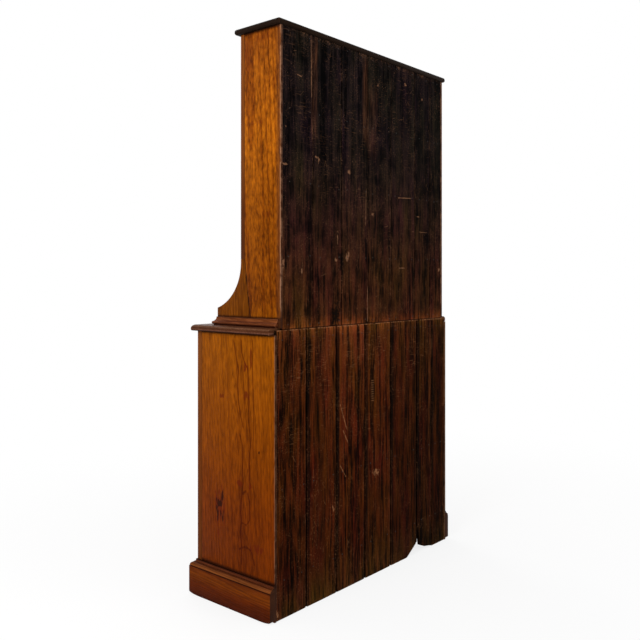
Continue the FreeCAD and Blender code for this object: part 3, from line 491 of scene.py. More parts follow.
@dataclass(frozen=True)
class Pine:
    """Old pine cut along the trunk: growth rings round a heart line.

    Args:
        name: Name of the finish.
        body: Wood colour, as stops over the height range.
        heights: Lowest and highest level of those stops.
        late: Colour by which a dark ring multiplies the body.
        ring: Spacing of the rings.
        contrast: Strength of the rings.
        mottle: Strength of the broad light and dark clouds.
        tilt: Lean of the heart line against the board.
        rough: Least and most roughness.
        worn: Colour of rubbed arrises; on the mouldings and worktop also a painted highlight.
        wear: Strength of that rubbing.
        dash: Strength of the short dark strokes.
        strokes: How many strokes go to a metre, across and along the grain.
        behind: Y from which the surface carries the dark stain of the back.
        gloss: How it shines.
    """

    name: str
    body: Stops
    heights: Pair = (0.0, 2.0)
    late: Colour = (0.62, 0.5, 0.4, 1.0)
    ring: float = 0.006
    contrast: float = 0.7
    mottle: float = 0.35
    tilt: float = 0.05
    rough: Pair = (0.42, 0.62)
    worn: Colour = tone(176, 128, 92)
    wear: float = 0.5
    dash: float = 0.45
    strokes: Pair = (190.0, 22.0)
    behind: float = 9.0
    gloss: Gloss = Gloss()

    def build(self, grain: Grain) -> bpy.types.Material:
        """Make the material for boards whose grain follows one axis."""
        graph = Graph(bpy.data.materials.new("%s_%s" % (self.name, grain.name.lower())))
        colour, height, rough = self.paint(graph, grain)
        return graph.shade(colour, rough, height, self.gloss)

    def paint(self, graph: Graph, grain: Grain) -> tuple[Wire, Wire, Wire]:
        """Colour, relief and roughness of the wood.

        Args:
            graph: Graph that the nodes go to.
            grain: Axis of the grain.

        Returns:
            Colour, height and roughness.
        """
        heart = graph.attribute("heart", "Vector")
        parts = list(graph.split(graph.reckon("SUBTRACT", graph.place(), heart)))
        run = parts.pop(grain.value)
        p, q = parts
        seed = graph.attribute("seed")
        sway = graph.noise(p * 7, q * 7, run * 1.7 + seed * 9, 1.0) - 0.5
        ripple = graph.noise(p * 40, q * 40, run * 9 + seed * 5) - 0.5
        u = p + sway * 0.022 + ripple * 0.006
        v = q + run * self.tilt + sway * 0.012
        reach = (u * u + v * v).root() / self.ring
        jitter = graph.noise(reach * 0.21, seed * 3, 0, 1.0)
        saw = (reach + jitter * 1.6).fraction()
        late = graph.smooth(0.45, 0.9, saw) * graph.smooth(1.0, 0.93, saw)
        fibre = graph.noise(p * 620, q * 620, run * 16 + seed, rough=0.6)
        across, on = self.strokes
        slant = (run + u * 0.25) * on + seed * 8
        dash = graph.noise(u * across, v * across, slant, rough=0.55)
        cloud = graph.noise(p * 22, q * 22, run * 6 + seed * 4, 4.0, 0.65)
        _, depth, level = graph.split(graph.place())
        colour = graph.between(level, self.heights, self.body)
        colour = graph.mix(late * self.contrast, colour, graph.times(colour, self.late))
        light = 1 + (cloud - 0.5) * (2 * self.mottle) + (fibre - 0.5) * 0.5
        light = (light + (dash - 0.5) * (2 * self.dash)).most(0.25)
        colour = graph.times(colour, graph.vector(light, light ** 1.12, light ** 1.3))
        pores = graph.smooth(0.62, 0.78, graph.noise(p * 900, q * 900, run * 28, 1.0))
        colour = graph.mix(pores * 0.4, colour, PORE_BLACK)
        # Rubbed arrises, lighter; on the mouldings and worktop also a painted highlight.
        rubbed = graph.attribute("arris") * graph.smooth(0.4, 0.75, cloud + fibre * 0.25 - 0.08)
        colour = graph.mix(rubbed * self.wear, colour, self.worn)
        stained = graph.smooth(self.behind - 0.0004, self.behind, depth)
        stain = graph.mix(cloud, tone(12, 7, 5), tone(58, 34, 22))
        colour = graph.mix(stained * 0.9, colour, stain)
        height = fibre * 0.35 + late * 0.25 + (1 - pores) * 0.3 + cloud * 0.3
        least, most = self.rough
        return colour, height, least + (most - least) * (0.6 * fibre + 0.4 * (1 - cloud))


@dataclass(frozen=True)
class SidePine(Pine):
    """Broad board of a side, with its own figure, knots, and painted shade with soiling where it
    meets other parts.

    Args:
        figure: Middle and half width, along Y, of the band of wavy figure.
        veins: Strength of that figure.
        courses: Single dark growth lines, placed along Y and Z.
        knots: Dark knots, placed along Y and Z.
        blushes: Faint reddish spots, placed along Y and Z.
        flush: Strength of those spots.
        shading_and_soiling: Levels of painted shade with soiling, where the side meets the parts
            above and below, each with its reach.
        joint: Y of the joint with the front stile.
        rear: Y of the pale line beside the rear arris, a painted highlight with wear.
        rear_highlight: Strength of that line.
        rear_darkening: How much darker the wood is in front of it.
    """

    figure: Pair = (0.05, 0.05)
    veins: float = 0.6
    courses: tuple[Mark, ...] = ()
    knots: tuple[Mark, ...] = ()
    blushes: tuple[Mark, ...] = ()
    flush: float = 0.7
    shading_and_soiling: tuple[Pair, ...] = ()
    joint: float = -9.0
    rear: float = 0.2032
    rear_highlight: float = 0.75
    rear_darkening: float = 0.0

    def paint(self, graph: Graph, grain: Grain) -> tuple[Wire, Wire, Wire]:
        """Colour, relief and roughness with what only the sides show.

        Args:
            graph: Graph that the nodes go to.
            grain: Axis of the grain.

        Returns:
            Colour, height and roughness.
        """
        colour, height, rough = super().paint(graph, grain)
        if grain is not Grain.Z:
            return colour, height, rough
        _, y, z = graph.split(graph.place())
        middle, half = self.figure
        field = graph.noise(y * 21, z * 2.9, 4.2, rough=0.55) * 13
        vein = graph.smooth(0.32, 0.05, abs(field.fraction() - 0.5))
        band = graph.smooth(1.3, 0.5, abs(y - middle) / half)
        broken = graph.noise(y * 90, z * 24, 1.0)
        steady = graph.noise(y * 80, z * 9, 2.0)
        dark = graph.times(graph.times(colour, self.late), self.late)
        vein = vein * (0.15 + band * self.veins) * graph.smooth(0.3, 0.55, steady)
        colour = graph.mix(vein, colour, dark)
        face = Face(graph, y, z, (broken - 0.5) * 4.5)
        for marks, share, deep in (
            (self.courses, 0.55 + 0.4 * steady, dark),
            (self.blushes, self.flush, tone(84, 22, 4)),
            (self.knots, 0.9, tone(34, 12, 4)),
        ):
            colour = graph.mix(face.union(marks) * share, colour, deep)
        # Painted shade, with soiling, at the levels where the side meets the worktop, plinth,
        # mould and top board.
        for level, reach in self.shading_and_soiling:
            near = graph.smooth(1.0, 0.15, abs(z - level) / reach + face.ragged * 0.12)
            colour = graph.mix(near * 0.88, colour, tone(30, 9, 3))
        line = graph.smooth(1.0, 0.4, abs(y - self.joint) / 0.0028)
        colour = graph.mix(line * 0.8, colour, tone(38, 16, 6))
        # Darker wood in a strip just in front of the rear arris.
        held = graph.smooth(self.rear - 0.026, self.rear - 0.008, y + (broken - 0.5) * 0.01)
        colour = graph.mix(held * self.rear_darkening, colour, tone(60, 34, 22))
        # Pale line beside the rear arris: a painted highlight with wear.
        away = abs(y + (broken - 0.5) * 0.002 - self.rear)
        foot = self.shading_and_soiling[-1][0]
        shown = graph.smooth(foot, foot + 0.05, z + (broken - 0.5) * 0.1)
        shown = shown * graph.smooth(0.3, 0.5, broken) * graph.smooth(0.0016, 0.0006, away)
        colour = graph.mix(shown * self.rear_highlight, colour, tone(166, 120, 90))
        return colour, height, rough


@dataclass(frozen=True)
class Band:
    """A broad upright band of the stain, lighter or darker than the rest.

    Args:
        centre: Its middle, along X.
        half: Half its width.
        foot: Its lowest level.
        head: Its highest level.
        colour: Colour that it leans to.
        share: How strongly.
    """

    centre: float
    half: float
    foot: float
    head: float
    colour: Colour
    share: float = 1.0

    def apply(self, graph: Graph, colour: Wire, x: Wire, z: Wire, broken: Wire) -> Wire:
        """Lay the band over a colour.

        Args:
            graph: Graph that the nodes go to.
            colour: Colour below.
            x: Coordinate across the boards.
            z: Height coordinate.
            broken: Strength of the band in each streak.

        Returns:
            The new colour.
        """
        near = graph.smooth(self.half, self.half * 0.4, abs(x - self.centre))
        middle, reach = (self.head + self.foot) / 2, (self.head - self.foot) / 2
        span = graph.smooth(reach + 0.03, reach - 0.05, abs(z - middle))
        return graph.mix(near * span * broken * self.share, colour, self.colour)


@dataclass(frozen=True)
class StainedBoards:
    """Rough boards of the back, under an old dark stain.

    Args:
        name: Name of the finish.
        body: Stain colour, as stops from the foot to the head of the boards.
        heights: Lowest and highest level of those stops.
        streaks: Contrast of the upright streaks.
        weights: Shares of fine, middle and wide streaks and of clouds.
        rubbed: Colour of chips and scratches.
        pale: Light marks.
        dark: Dark marks.
        bands: Broad lighter and darker bands.
        sawn: Level from which saw marks show, and their strength.
        thread: Strength of the thin light threads in the grain.
        rim: Level of a pale dotted line, where the next stage rubs.
        shade: Level of the painted shade line in the joint between the stages.
        tinted: How much the colour wanders to green and from blue.
        scuffed: Angles of the scuffs from upright, in radians.
        gloss: How it shines.
    """

    name: str
    body: Stops
    heights: Pair
    streaks: float
    weights: tuple[float, float, float, float]
    rubbed: Colour
    pale: tuple[Mark, ...]
    dark: tuple[Mark, ...]
    bands: tuple[Band, ...] = ()
    sawn: Pair = (0.5, 0.3)
    thread: float = 0.6
    rim: float = -1.0
    shade: float = -1.0
    tinted: Pair = (1.5, 1.0)
    scuffed: tuple[float, ...] = (0.08, 1.3, 0.75, -0.6)
    gloss: Gloss = Gloss(specular=0.01, tint=(1.0, 0.8, 0.65, 1.0), bump=0.0012)

    def build(self) -> bpy.types.Material:
        """Make the material; the boards carry a tone and the strength of their painted seam shade
        and soiling.
        """
        graph = Graph(bpy.data.materials.new(self.name))
        x, y, z = graph.split(graph.place())
        own = graph.attribute("seed")
        bent = x + (graph.noise(x * 7, own * 9, z * 2.6) - 0.5) * 0.02
        fine = graph.noise(bent * 270, own * 31, z * 13, 3.0, 0.6)
        middle = graph.noise(bent * 85, own * 17, z * 5.5)
        wide = graph.noise(bent * 34, own * 7, z * 0.9, 1.0)
        cloud = graph.noise(x * 16, y * 9, z * 11, 4.0, 0.7)
        grit = graph.noise(x * 420, y * 420, z * 160, rough=0.7)
        torn = graph.noise(x * 150, y * 150, z * 110)
        thread = graph.smooth(0.58, 0.72, graph.noise(bent * 470, own * 11, z * 4.5))
        parts = zip((fine, middle, wide, cloud), self.weights)
        streaky = graph.smooth(0.415, 0.595, sum(part * weight for part, weight in parts))
        light = 0.1 + streaky * (self.streaks + thread * self.thread)
        light = light * graph.attribute("tone") * (0.3 + grit * 1.4)
        tint = graph.noise(x * 16, own * 3 + 5, z * 4) - 0.5
        to_green, from_blue = self.tinted
        green, blue = light ** 0.87 * (1 + tint * to_green), light ** 0.75 * (1 - tint * from_blue)
        colour = graph.between(z, self.heights, self.body)
        colour = graph.times(colour, graph.vector(light, green, blue))
        broken = 0.08 + graph.smooth(0.42, 0.66, fine) * 0.5
        for band in self.bands:
            colour = band.apply(graph, colour, bent, z, broken)
        # Painted shade in the open seams, darker with depth, and the band of painted shade and
        # soiling beside them.
        colour = graph.mix(graph.attribute("hollow") * 0.92, colour, SEAM_SHADE_SOIL_BLACK)
        face = Face(graph, x, z, (grit - 0.5) * 2.5 + (torn - 0.5) * 4)
        chips = face.union(self.pale)
        pale = self.rubs(graph, (x, z, bent, own), (grit, cloud, wide)).most(chips * 0.62)
        colour = graph.mix(pale, colour, self.rubbed)
        # Painted shade line in the joint between the rack and the base.
        joint_shade = graph.smooth(0.0018, 0.0008, abs(z - self.shade))
        colour = graph.mix(joint_shade * 0.85, colour, JOINT_SHADE_BLACK)
        colour = graph.mix(face.union(self.dark) * 0.9, colour, HOLE_BLACK)
        height = fine * 0.5 + grit * 0.25 + middle * 0.4 - chips * 0.4
        return graph.shade(colour, 0.62 + 0.22 * fine, height, self.gloss)

    def rubs(self, graph: Graph, places: Sequence[Wire], textures: Sequence[Wire]) -> Wire:
        """Rubbed arrises with their painted highlight, scuffs, saw marks, specks, light hairs and
        the dotted rim.

        Args:
            graph: Graph that the nodes go to.
            places: Across, level, across along the bent grain, and the board's own number.
            textures: Grit, clouds and wide streaks.

        Returns:
            How pale they make the surface.
        """
        x, z, bent, own = places
        grit, cloud, wide = textures
        arris = graph.attribute("arris") * graph.smooth(0.5, 0.66, grit * 0.5 + cloud * 0.5)
        rough = graph.smooth(0.44, 0.62, graph.noise(x * 8, own * 3, z * 5 + 7))
        scuffs: Value = 0.0
        for angle in self.scuffed:
            scuffs = self.strokes(graph, x, z, angle).most(scuffs)
        pale = (arris * 0.6).most(scuffs * rough * 0.75)
        start, strength = self.sawn
        saw = graph.smooth(0.6, 0.75, graph.noise(x * 30, own * 5, z * 320, 1.0))
        pale = pale.most(saw * graph.smooth(start, start + 0.1, z) * strength * rough)
        specks = graph.smooth(0.64, 0.74, graph.noise(x * 330, own * 2, z * 300, 1.0))
        pale = pale.most(specks * graph.smooth(0.4, 0.6, cloud) * 0.5)
        hair = graph.smooth(0.7, 0.78, graph.noise(bent * 700, own * 13, z * 5, 1.0))
        pale = pale.most(hair * graph.smooth(0.45, 0.65, wide + (cloud - 0.5) * 0.5) * 0.35)
        dotted = graph.smooth(0.46, 0.56, graph.noise(x * 120, own, 3.0, 3.0))
        return pale.most(graph.smooth(0.002, 0.0007, abs(z - self.rim)) * dotted * 0.8)

    def strokes(self, graph: Graph, x: Wire, z: Wire, angle: float) -> Wire:
        """Thin short scuffs that run one way.

        Args:
            graph: Graph that the nodes go to.
            x: Coordinate across the boards.
            z: Height coordinate.
            angle: Their lean from upright, in radians.

        Returns:
            1 on a scuff.
        """
        u = x * math.cos(angle) + z * math.sin(angle)
        v = z * math.cos(angle) - x * math.sin(angle)
        return graph.smooth(0.73, 0.8, graph.noise(u * 560 + angle * 9, v * 17, angle * 40, 1.0))


@dataclass(frozen=True)
class Iron:
    """Blackened iron with a little rust.

    Args:
        name: Name of the finish.
        metallic: 1 for bare metal, less for a dull crust.
        specular: Strength of the plain reflection.
    """

    name: str = "old_iron"
    metallic: float = 0.6
    specular: float = 0.4

    def build(self) -> bpy.types.Material:
        """Make the material."""
        graph = Graph(bpy.data.materials.new(self.name))
        x, y, z = graph.split(graph.place())
        patch = graph.noise(x * 140, y * 140, z * 140, 4.0, 0.65)
        grit = graph.noise(x * 900, y * 900, z * 900)
        rust = graph.smooth(0.5, 0.7, patch)
        colour = graph.mix(rust * 0.7, tone(44, 40, 38), tone(74, 43, 26))
        gloss = Gloss(self.specular, WHITE, self.metallic, bump=0.0003)
        return graph.shade(colour, 0.42 + 0.35 * rust, grit * 0.6 + patch * 0.4, gloss)


@dataclass(frozen=True)
class Turned:
    """Turned wood of the knobs, darker where hands have soiled it.

    Args:
        name: Name of the finish.
        body: Wood colour, from the dark to the light parts.
        gloss: How it shines.
    """

    name: str = "turned_knob_wood"
    body: Stops = stops((0.3, 54, 26, 10), (0.7, 104, 54, 22))
    gloss: Gloss = Gloss(specular=0.25, coat=0.1, bump=0.0002)

    def build(self) -> bpy.types.Material:
        """Make the material."""
        graph = Graph(bpy.data.materials.new(self.name))
        x, y, z = graph.split(graph.place())
        cloud = graph.noise(x * 40, y * 90, z * 40, 3.0)
        fibre = graph.noise(x * 90, y * 700, z * 900)
        colour = graph.ramp(cloud * 0.7 + fibre * 0.3, self.body)
        return graph.shade(colour, 0.34 + 0.2 * fibre, fibre, self.gloss)


MERGE = 2e-6
FLAT = math.radians(0.4)
SHARP = math.radians(32)
ARRIS = 0.0009
HEART_GAP = (0.03, 0.05)
CHANCE_STEP = 91.7


def stand(name: str, data: bpy.types.ID) -> bpy.types.Object:
    """Link a new object to the scene."""
    made = bpy.data.objects.new(name, data)
    bpy.context.scene.collection.objects.link(made)
    return made


def realise(
    mesh: bmesh.types.BMesh, name: str, materials: Sequence[bpy.types.Material]
) -> bpy.types.Object:
    """Turn a mesh into an object, smooth but for its sharp edges.

    Args:
        mesh: The mesh, which is used up.
        name: Name of the new object.
        materials: Its materials, by face index.

    Returns:
        The new object, still without a body.
    """
    for face in mesh.faces:
        face.smooth = True
    for edge in mesh.edges:
        edge.smooth = len(edge.link_faces) == 2 and edge.calc_face_angle(0) < SHARP
    data = bpy.data.meshes.new(name)
    mesh.to_mesh(data)
    mesh.free()
    for material in materials:
        data.materials.append(material)
    return stand(name, data)


class Part:
    """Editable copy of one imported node, which becomes a finished piece."""

    def __init__(self, node: bpy.types.Object) -> None:
        """Copy the node, weld its loose triangles and join the flat ones.

        Args:
            node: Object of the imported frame.
        """
        self.node = node
        self.mesh = bmesh.new()
        self.mesh.from_mesh(node.data)
        bmesh.ops.remove_doubles(self.mesh, verts=self.mesh.verts, dist=MERGE)
        geometry = {"verts": self.mesh.verts, "edges": self.mesh.edges}
        bmesh.ops.dissolve_limit(self.mesh, angle_limit=FLAT, **geometry)

    def ease(self, width: float) -> "Part":
        """Round the sharp arrises and mark them as rubbed.

        Args:
            width: Width of the rounding.

        Returns:
            The part itself.
        """
        mark = self.mesh.faces.layers.float.new("arris")
        sharp = [
            edge
            for edge in self.mesh.edges
            if len(edge.link_faces) == 2 and edge.is_convex and edge.calc_face_angle(0) > SHARP
        ]
        if sharp:
            shape = {"offset_type": "OFFSET", "segments": 2, "profile": 0.6, "affect": "EDGES"}
            made = bmesh.ops.bevel(
                self.mesh, geom=sharp, offset=width, clamp_overlap=True, **shape
            )
            for face in made["faces"]:
                face[mark] = 1.0
        return self

    def cut(self, axis: int, places: Sequence[float]) -> "Part":
        """Cut the faces along planes across one axis.

        Args:
            axis: Number of the axis.
            places: Where the planes stand.

        Returns:
            The part itself.
        """
        normal = Vector((0, 0, 0))
        normal[axis] = 1
        for place in places:
            whole = [*self.mesh.verts, *self.mesh.edges, *self.mesh.faces]
            plane = {"plane_co": normal * place, "plane_no": normal}
            bmesh.ops.bisect_plane(self.mesh, geom=whole, dist=MERGE, **plane)
        return self

    def islands(self) -> list[list[bmesh.types.BMFace]]:
        """Faces of each solid; touching solids stay apart."""
        seen: set[int] = set()
        found = []
        for first in self.mesh.faces:
            if first.index in seen:
                continue
            seen.add(first.index)
            group, queue = [], [first]
            while queue:
                face = queue.pop()
                group.append(face)
                joined = [edge for edge in face.edges if len(edge.link_faces) == 2]
                for other in (other for edge in joined for other in edge.link_faces):
                    if other.index not in seen:
                        seen.add(other.index)
                        queue.append(other)
            found.append(group)
        return found

    def season(self, heart: Point | None = None) -> "Part":
        """Give each solid its grain axis, heart line and own random number.

        Args:
            heart: A point of the heart line, where it matters; else it is random.

        Returns:
            The part itself.
        """
        self.mesh.faces.index_update()
        hearts = self.mesh.faces.layers.float_vector.new("heart")
        seeds = self.mesh.faces.layers.float.new("seed")
        for group in self.islands():
            corners = [vertex.co for face in group for vertex in face.verts]
            low = Vector([min(corner[axis] for corner in corners) for axis in range(3)])
            high = Vector([max(corner[axis] for corner in corners) for axis in range(3)])
            size, middle = high - low, (high + low) / 2
            axis = max(range(3), key=lambda number: size[number])
            chance = noise.cell_vector(middle * CHANCE_STEP)
            least, more = HEART_GAP
            off = Vector([least + more * abs(part) for part in chance])
            point = middle + off if heart is None else Vector(heart)
            for face in group:
                face.material_index = axis
                face[hearts] = point
                face[seeds] = abs(chance[0]) * 7 % 1
        return self

    def grains(self) -> list[Grain]:
        """The grains of the seasoned solids."""
        return [Grain(axis) for axis in sorted({face.material_index for face in self.mesh.faces})]

    def finish(self, name: str, materials: Sequence[bpy.types.Material]) -> bpy.types.Object:
        """Turn the part into a new object."""
        return realise(self.mesh, name, materials)


@dataclass(frozen=True)
class Lathe:
    """A turned form on an axis along Y.

    Args:
        profile: Radius and place along the axis, from the front to the back.
        count: Number of faces round it.
    """

    profile: tuple[Pair, ...]
    count: int = 48

    def build(
        self, name: str, places: Sequence[Vector], finish: bpy.types.Material
    ) -> bpy.types.Object:
        """Turn one copy at each place.

        Args:
            name: Name of the new object.
            places: Where the axes start.
            finish: Its material.

        Returns:
            The object, still without a body.
        """
        mesh = bmesh.new()
        for place in places:
            rings = []
            for radius, along in self.profile:
                ring = []
                for step in range(self.count if radius > 0 else 1):
                    turn = math.tau * step / self.count
                    spot = Vector((radius * math.cos(turn), along, radius * math.sin(turn)))
                    ring.append(mesh.verts.new(place + spot))
                rings.append(ring)
            for first, second in zip(rings, rings[1:]):
                for step in range(self.count):
                    picks = ((first, step), (first, step + 1), (second, step + 1), (second, step))
                    corners = [ring[at % len(ring)] for ring, at in picks]
                    mesh.faces.new(list(dict.fromkeys(corners)))
        bmesh.ops.recalc_face_normals(mesh, faces=mesh.faces)
        return realise(mesh, name, [finish])


class Workshop:
    """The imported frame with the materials, shared by all sub-assemblies."""

    def __init__(self, frame: Mapping[str, object]) -> None:
        """Keep the nodes that the frame loader returned."""
        self.nodes = frame["nodes"]
        self.made: dict[tuple[str, Grain | None], bpy.types.Material] = {}

    def wood(self, finish: Pine, grains: Sequence[Grain]) -> list[bpy.types.Material]:
        """A wood finish by axis, made once for each grain in use.

        Args:
            finish: The finish.
            grains: Grains in use; the other axes get the first one's material.

        Returns:
            A material for each of the three axes.
        """
        for grain in grains:
            key = (finish.name, grain)
            if key not in self.made:
                self.made[key] = finish.build(grain)
        used = [grain if grain in grains else grains[0] for grain in Grain]
        return [self.made[finish.name, grain] for grain in used]

    def plain(self, finish: Union[Iron, Turned, StainedBoards]) -> bpy.types.Material:
        """A finish without a grain axis, made once."""
        key = (finish.name, None)
        if key not in self.made:
            self.made[key] = finish.build()
        return self.made[key]

    def place(self, piece: bpy.types.Object, slot: str, *nodes: str) -> None:
        """Let a piece stand for nodes and ride their body.

        Args:
            piece: The new object.
            slot: The record's material slot; not used.
            nodes: The nodes that it replaces.
        """
        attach(piece, self.nodes[nodes[0]]["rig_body"])
        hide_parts(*nodes)
        LOG.info("%s: %d faces for %s", piece.name, len(piece.data.polygons), ", ".join(nodes))

    def joinery(
        self,
        finish: Pine,
        slot: str,
        *names: str,
        width: float = ARRIS,
        heart: Point | None = None,
    ) -> None:
        """Make the finished copies of wooden nodes.

        Args:
            finish: Their wood finish.
            slot: The record's material slot.
            names: The nodes.
            width: How far their arrises are rounded.
            heart: A point of the heart line, or None.
        """
        for name in names:
            part = Part(self.nodes[name]).ease(width).season(heart)
            piece = part.finish("wood_" + name, self.wood(finish, part.grains()))
            self.place(piece, slot, name)


PALE_TO_DARK = stops(
    (0.0, 92, 35, 1), (0.16, 104, 42, 1), (0.3, 118, 56, 2), (0.37, 123, 61, 3),
    (0.45, 134, 70, 4), (0.49, 136, 71, 4), (0.53, 112, 54, 3), (0.7, 132, 68, 5),
    (0.83, 150, 80, 8), (0.93, 142, 75, 10), (1.0, 124, 62, 10),
)
BACK_PLANE = 0.2042
VARNISHED = Pine("varnished_pine", PALE_TO_DARK)
FRONT_PINE = replace(VARNISHED, name="front_pine", worn=tone(40, 16, 5), wear=0.9)
BASE_SIDE = SidePine(
    "base_side_pine",
    PALE_TO_DARK,
    ring=0.0125,
    dash=0.62,
    strokes=(140.0, 32.0),
    mottle=0.5,
    contrast=0.5,
    figure=(0.05, 0.05),
    veins=0.35,
    courses=(
        Course((
            (0.007, 0.927), (0.017, 0.879), (0.032, 0.815), (0.027, 0.77), (0.032, 0.708),
            (0.042, 0.668), (0.057, 0.619),
        )),
        Course((
            (0.037, 0.606), (0.052, 0.56), (0.052, 0.43), (0.047, 0.374), (0.042, 0.332),
            (0.047, 0.303), (0.042, 0.264), (0.047, 0.227), (0.047, 0.149),
        )),
        Course((
            (0.047, 0.929), (0.047, 0.884), (0.062, 0.848), (0.077, 0.828), (0.082, 0.781),
            (0.082, 0.652), (0.091, 0.586), (0.086, 0.511), (0.086, 0.45), (0.091, 0.427),
        )),
        Course(((0.072, 0.413), (0.086, 0.378), (0.086, 0.314), (0.072, 0.294))),
        Course(((0.101, 0.932), (0.101, 0.817), (0.106, 0.655), (0.104, 0.52)), 0.002),
        *scratches(
            (0.072, 0.413, 0.049, 0.396, 0.003), (0.074, 0.293, 0.044, 0.301, 0.003),
            (0.032, 0.203, 0.067, 0.221, 0.003), (0.067, 0.221, 0.096, 0.211, 0.003),
            (0.096, 0.211, 0.11, 0.164, 0.003),
        ),
    ),
    knots=blots(
        (-0.0645, 0.343, 0.012, 0.013), (-0.075, 0.314, 0.006, 0.022),
        (-0.061, 0.314, 0.005, 0.014), (-0.049, 0.3, 0.006, 0.018),
        (-0.048, 0.37, 0.005, 0.014), (0.132, 0.55, 0.003, 0.004),
    ),
    blushes=blots(
        (0.042, 0.43, 0.011, 0.008), (0.027, 0.4335, 0.008, 0.005), (0.091, 0.429, 0.008, 0.01),
        (0.067, 0.736, 0.01, 0.014), (0.07, 0.834, 0.009, 0.014), (0.12, 0.222, 0.022, 0.012),
        (-0.051, 0.722, 0.008, 0.007), (-0.062, 0.325, 0.022, 0.055), (0.093, 0.863, 0.004, 0.04),
    ),
    # Painted shade with soiling under the worktop and above the plinth.
    shading_and_soiling=((0.946, 0.01), (0.122, 0.014)),
    joint=-0.1585,
    behind=BACK_PLANE,
    rear_highlight=0.3,
    worn=tone(120, 66, 26),
)
RACK_SIDE = SidePine(
    "rack_side_pine",
    PALE_TO_DARK,
    ring=0.0125,
    contrast=0.85,
    dash=1.1,
    mottle=0.6,
    strokes=(125.0, 44.0),
    figure=(0.12, 0.05),
    veins=0.3,
    knots=scratches((0.0345, 1.202, 0.0665, 0.968, 0.0016)),
    blushes=blots(
        (0.046, 1.915, 0.014, 0.035), (0.056, 1.87, 0.01, 0.03), (0.17, 1.8, 0.014, 0.03),
        (0.1, 1.665, 0.028, 0.006), (0.135, 1.355, 0.018, 0.012), (0.12, 1.955, 0.03, 0.012),
    ),
    flush=0.3,
    rear_highlight=0.85,
    rear_darkening=0.52,
    # Painted shade with soiling under the top board and over the mould.
    shading_and_soiling=((1.979, 0.012), (0.979, 0.03), (0.998, 0.01)),
    joint=0.0325,
    behind=BACK_PLANE,
)
BRACKET = SidePine(
    "bracket_pine",
    stops((0.0, 98, 50, 5), (1.0, 98, 50, 5)),
    knots=scratches((0.0325, 1.202, 0.0645, 0.968, 0.0022)),
    ring=0.009,
    dash=0.9,
    mottle=0.5,
    strokes=(150.0, 16.0),
    veins=0.2,
    worn=tone(60, 26, 8),
    # Painted shade with soiling along the top of the mould.
    shading_and_soiling=((0.998, 0.01),),
)
STILE = Pine(
    "stile_pine",
    stops(
        (0.0, 88, 42, 12), (0.25, 98, 48, 14), (0.45, 114, 62, 22), (0.52, 74, 38, 18),
        (0.68, 80, 40, 17), (0.78, 104, 56, 22), (1.0, 118, 64, 22),
    ),
    worn=tone(38, 16, 8),
    wear=0.95,
)
# Plinth: its colour by height paints a highlight on the ovolo and shade in the quirks and in the
# cove under the side; its pale arrises are wear with a painted highlight.
PLINTH_WITH_PAINTED_LIGHT = Pine(
    "plinth_pine",
    stops(
        (0.0, 60, 16, 2), (0.35, 84, 30, 2), (0.6, 96, 42, 3), (0.79, 88, 36, 5),
        (0.81, 40, 10, 2), (0.825, 40, 10, 2), (0.84, 112, 60, 24), (0.9, 104, 56, 26),
        (0.925, 60, 24, 10), (0.95, 88, 44, 22), (0.975, 70, 30, 14), (1.0, 28, 9, 4),
    ),
    (0.0, 0.122),
    worn=tone(150, 92, 54),
    wear=0.75,
    mottle=0.5,
    dash=0.6,
    strokes=(240.0, 18.0),
    behind=BACK_PLANE,
)
# Mould at the foot of the rack: its colour by height paints highlights on its lit faces and nose,
# and shade in its quirk and along the worktop below; its pale arrises are wear with a painted
# highlight.
MOULD_WITH_PAINTED_LIGHT = Pine(
    "mould_pine",
    stops(
        (0.0, 40, 14, 8), (0.13, 44, 15, 8), (0.22, 80, 38, 20), (0.4, 104, 56, 30),
        (0.5, 84, 40, 20), (0.53, 54, 14, 6), (0.57, 60, 18, 8), (0.64, 104, 56, 28),
        (0.88, 100, 52, 24), (1.0, 50, 22, 12),
    ),
    (0.968, 0.998),
    worn=tone(150, 92, 60),
    wear=0.8,
    dash=0.8,
)
# Worktop: its colour by height paints a highlight on the nose of its edge, a reflection of the
# floor on the lower bead and shade along the underside; its pale arrises are wear with a painted
# highlight.
WORKTOP_WITH_PAINTED_LIGHT = Pine(
    "worktop_pine",
    stops(
        (0.0, 30, 14, 8), (0.1, 44, 22, 14), (0.25, 98, 62, 46), (0.42, 70, 38, 22),
        (0.62, 72, 40, 24), (0.8, 98, 66, 46), (0.94, 80, 48, 30), (1.0, 74, 42, 26),
    ),
    (0.946, 0.968),
    worn=tone(160, 106, 76),
    wear=0.8,
    dash=0.8,
)
TOP = Pine(
    "top_board_pine",
    stops((0.0, 26, 17, 12), (1.0, 26, 17, 12)),
    worn=tone(70, 44, 30),
    wear=0.7,
)
BARE = Pine(
    "bare_pine",
    stops((0.0, 172, 136, 92), (1.0, 172, 136, 92)),
    late=(0.72, 0.6, 0.48, 1.0),
    rough=(0.7, 0.9),
    worn=tone(190, 158, 118),
    gloss=Gloss(specular=0.2, tint=WHITE),
)
INSIDE = Pine(
    "inside_pine",
    stops((0.0, 150, 104, 58), (1.0, 150, 104, 58)),
    late=(0.7, 0.56, 0.42, 1.0),
    rough=(0.6, 0.85),
    worn=tone(176, 136, 92),
)


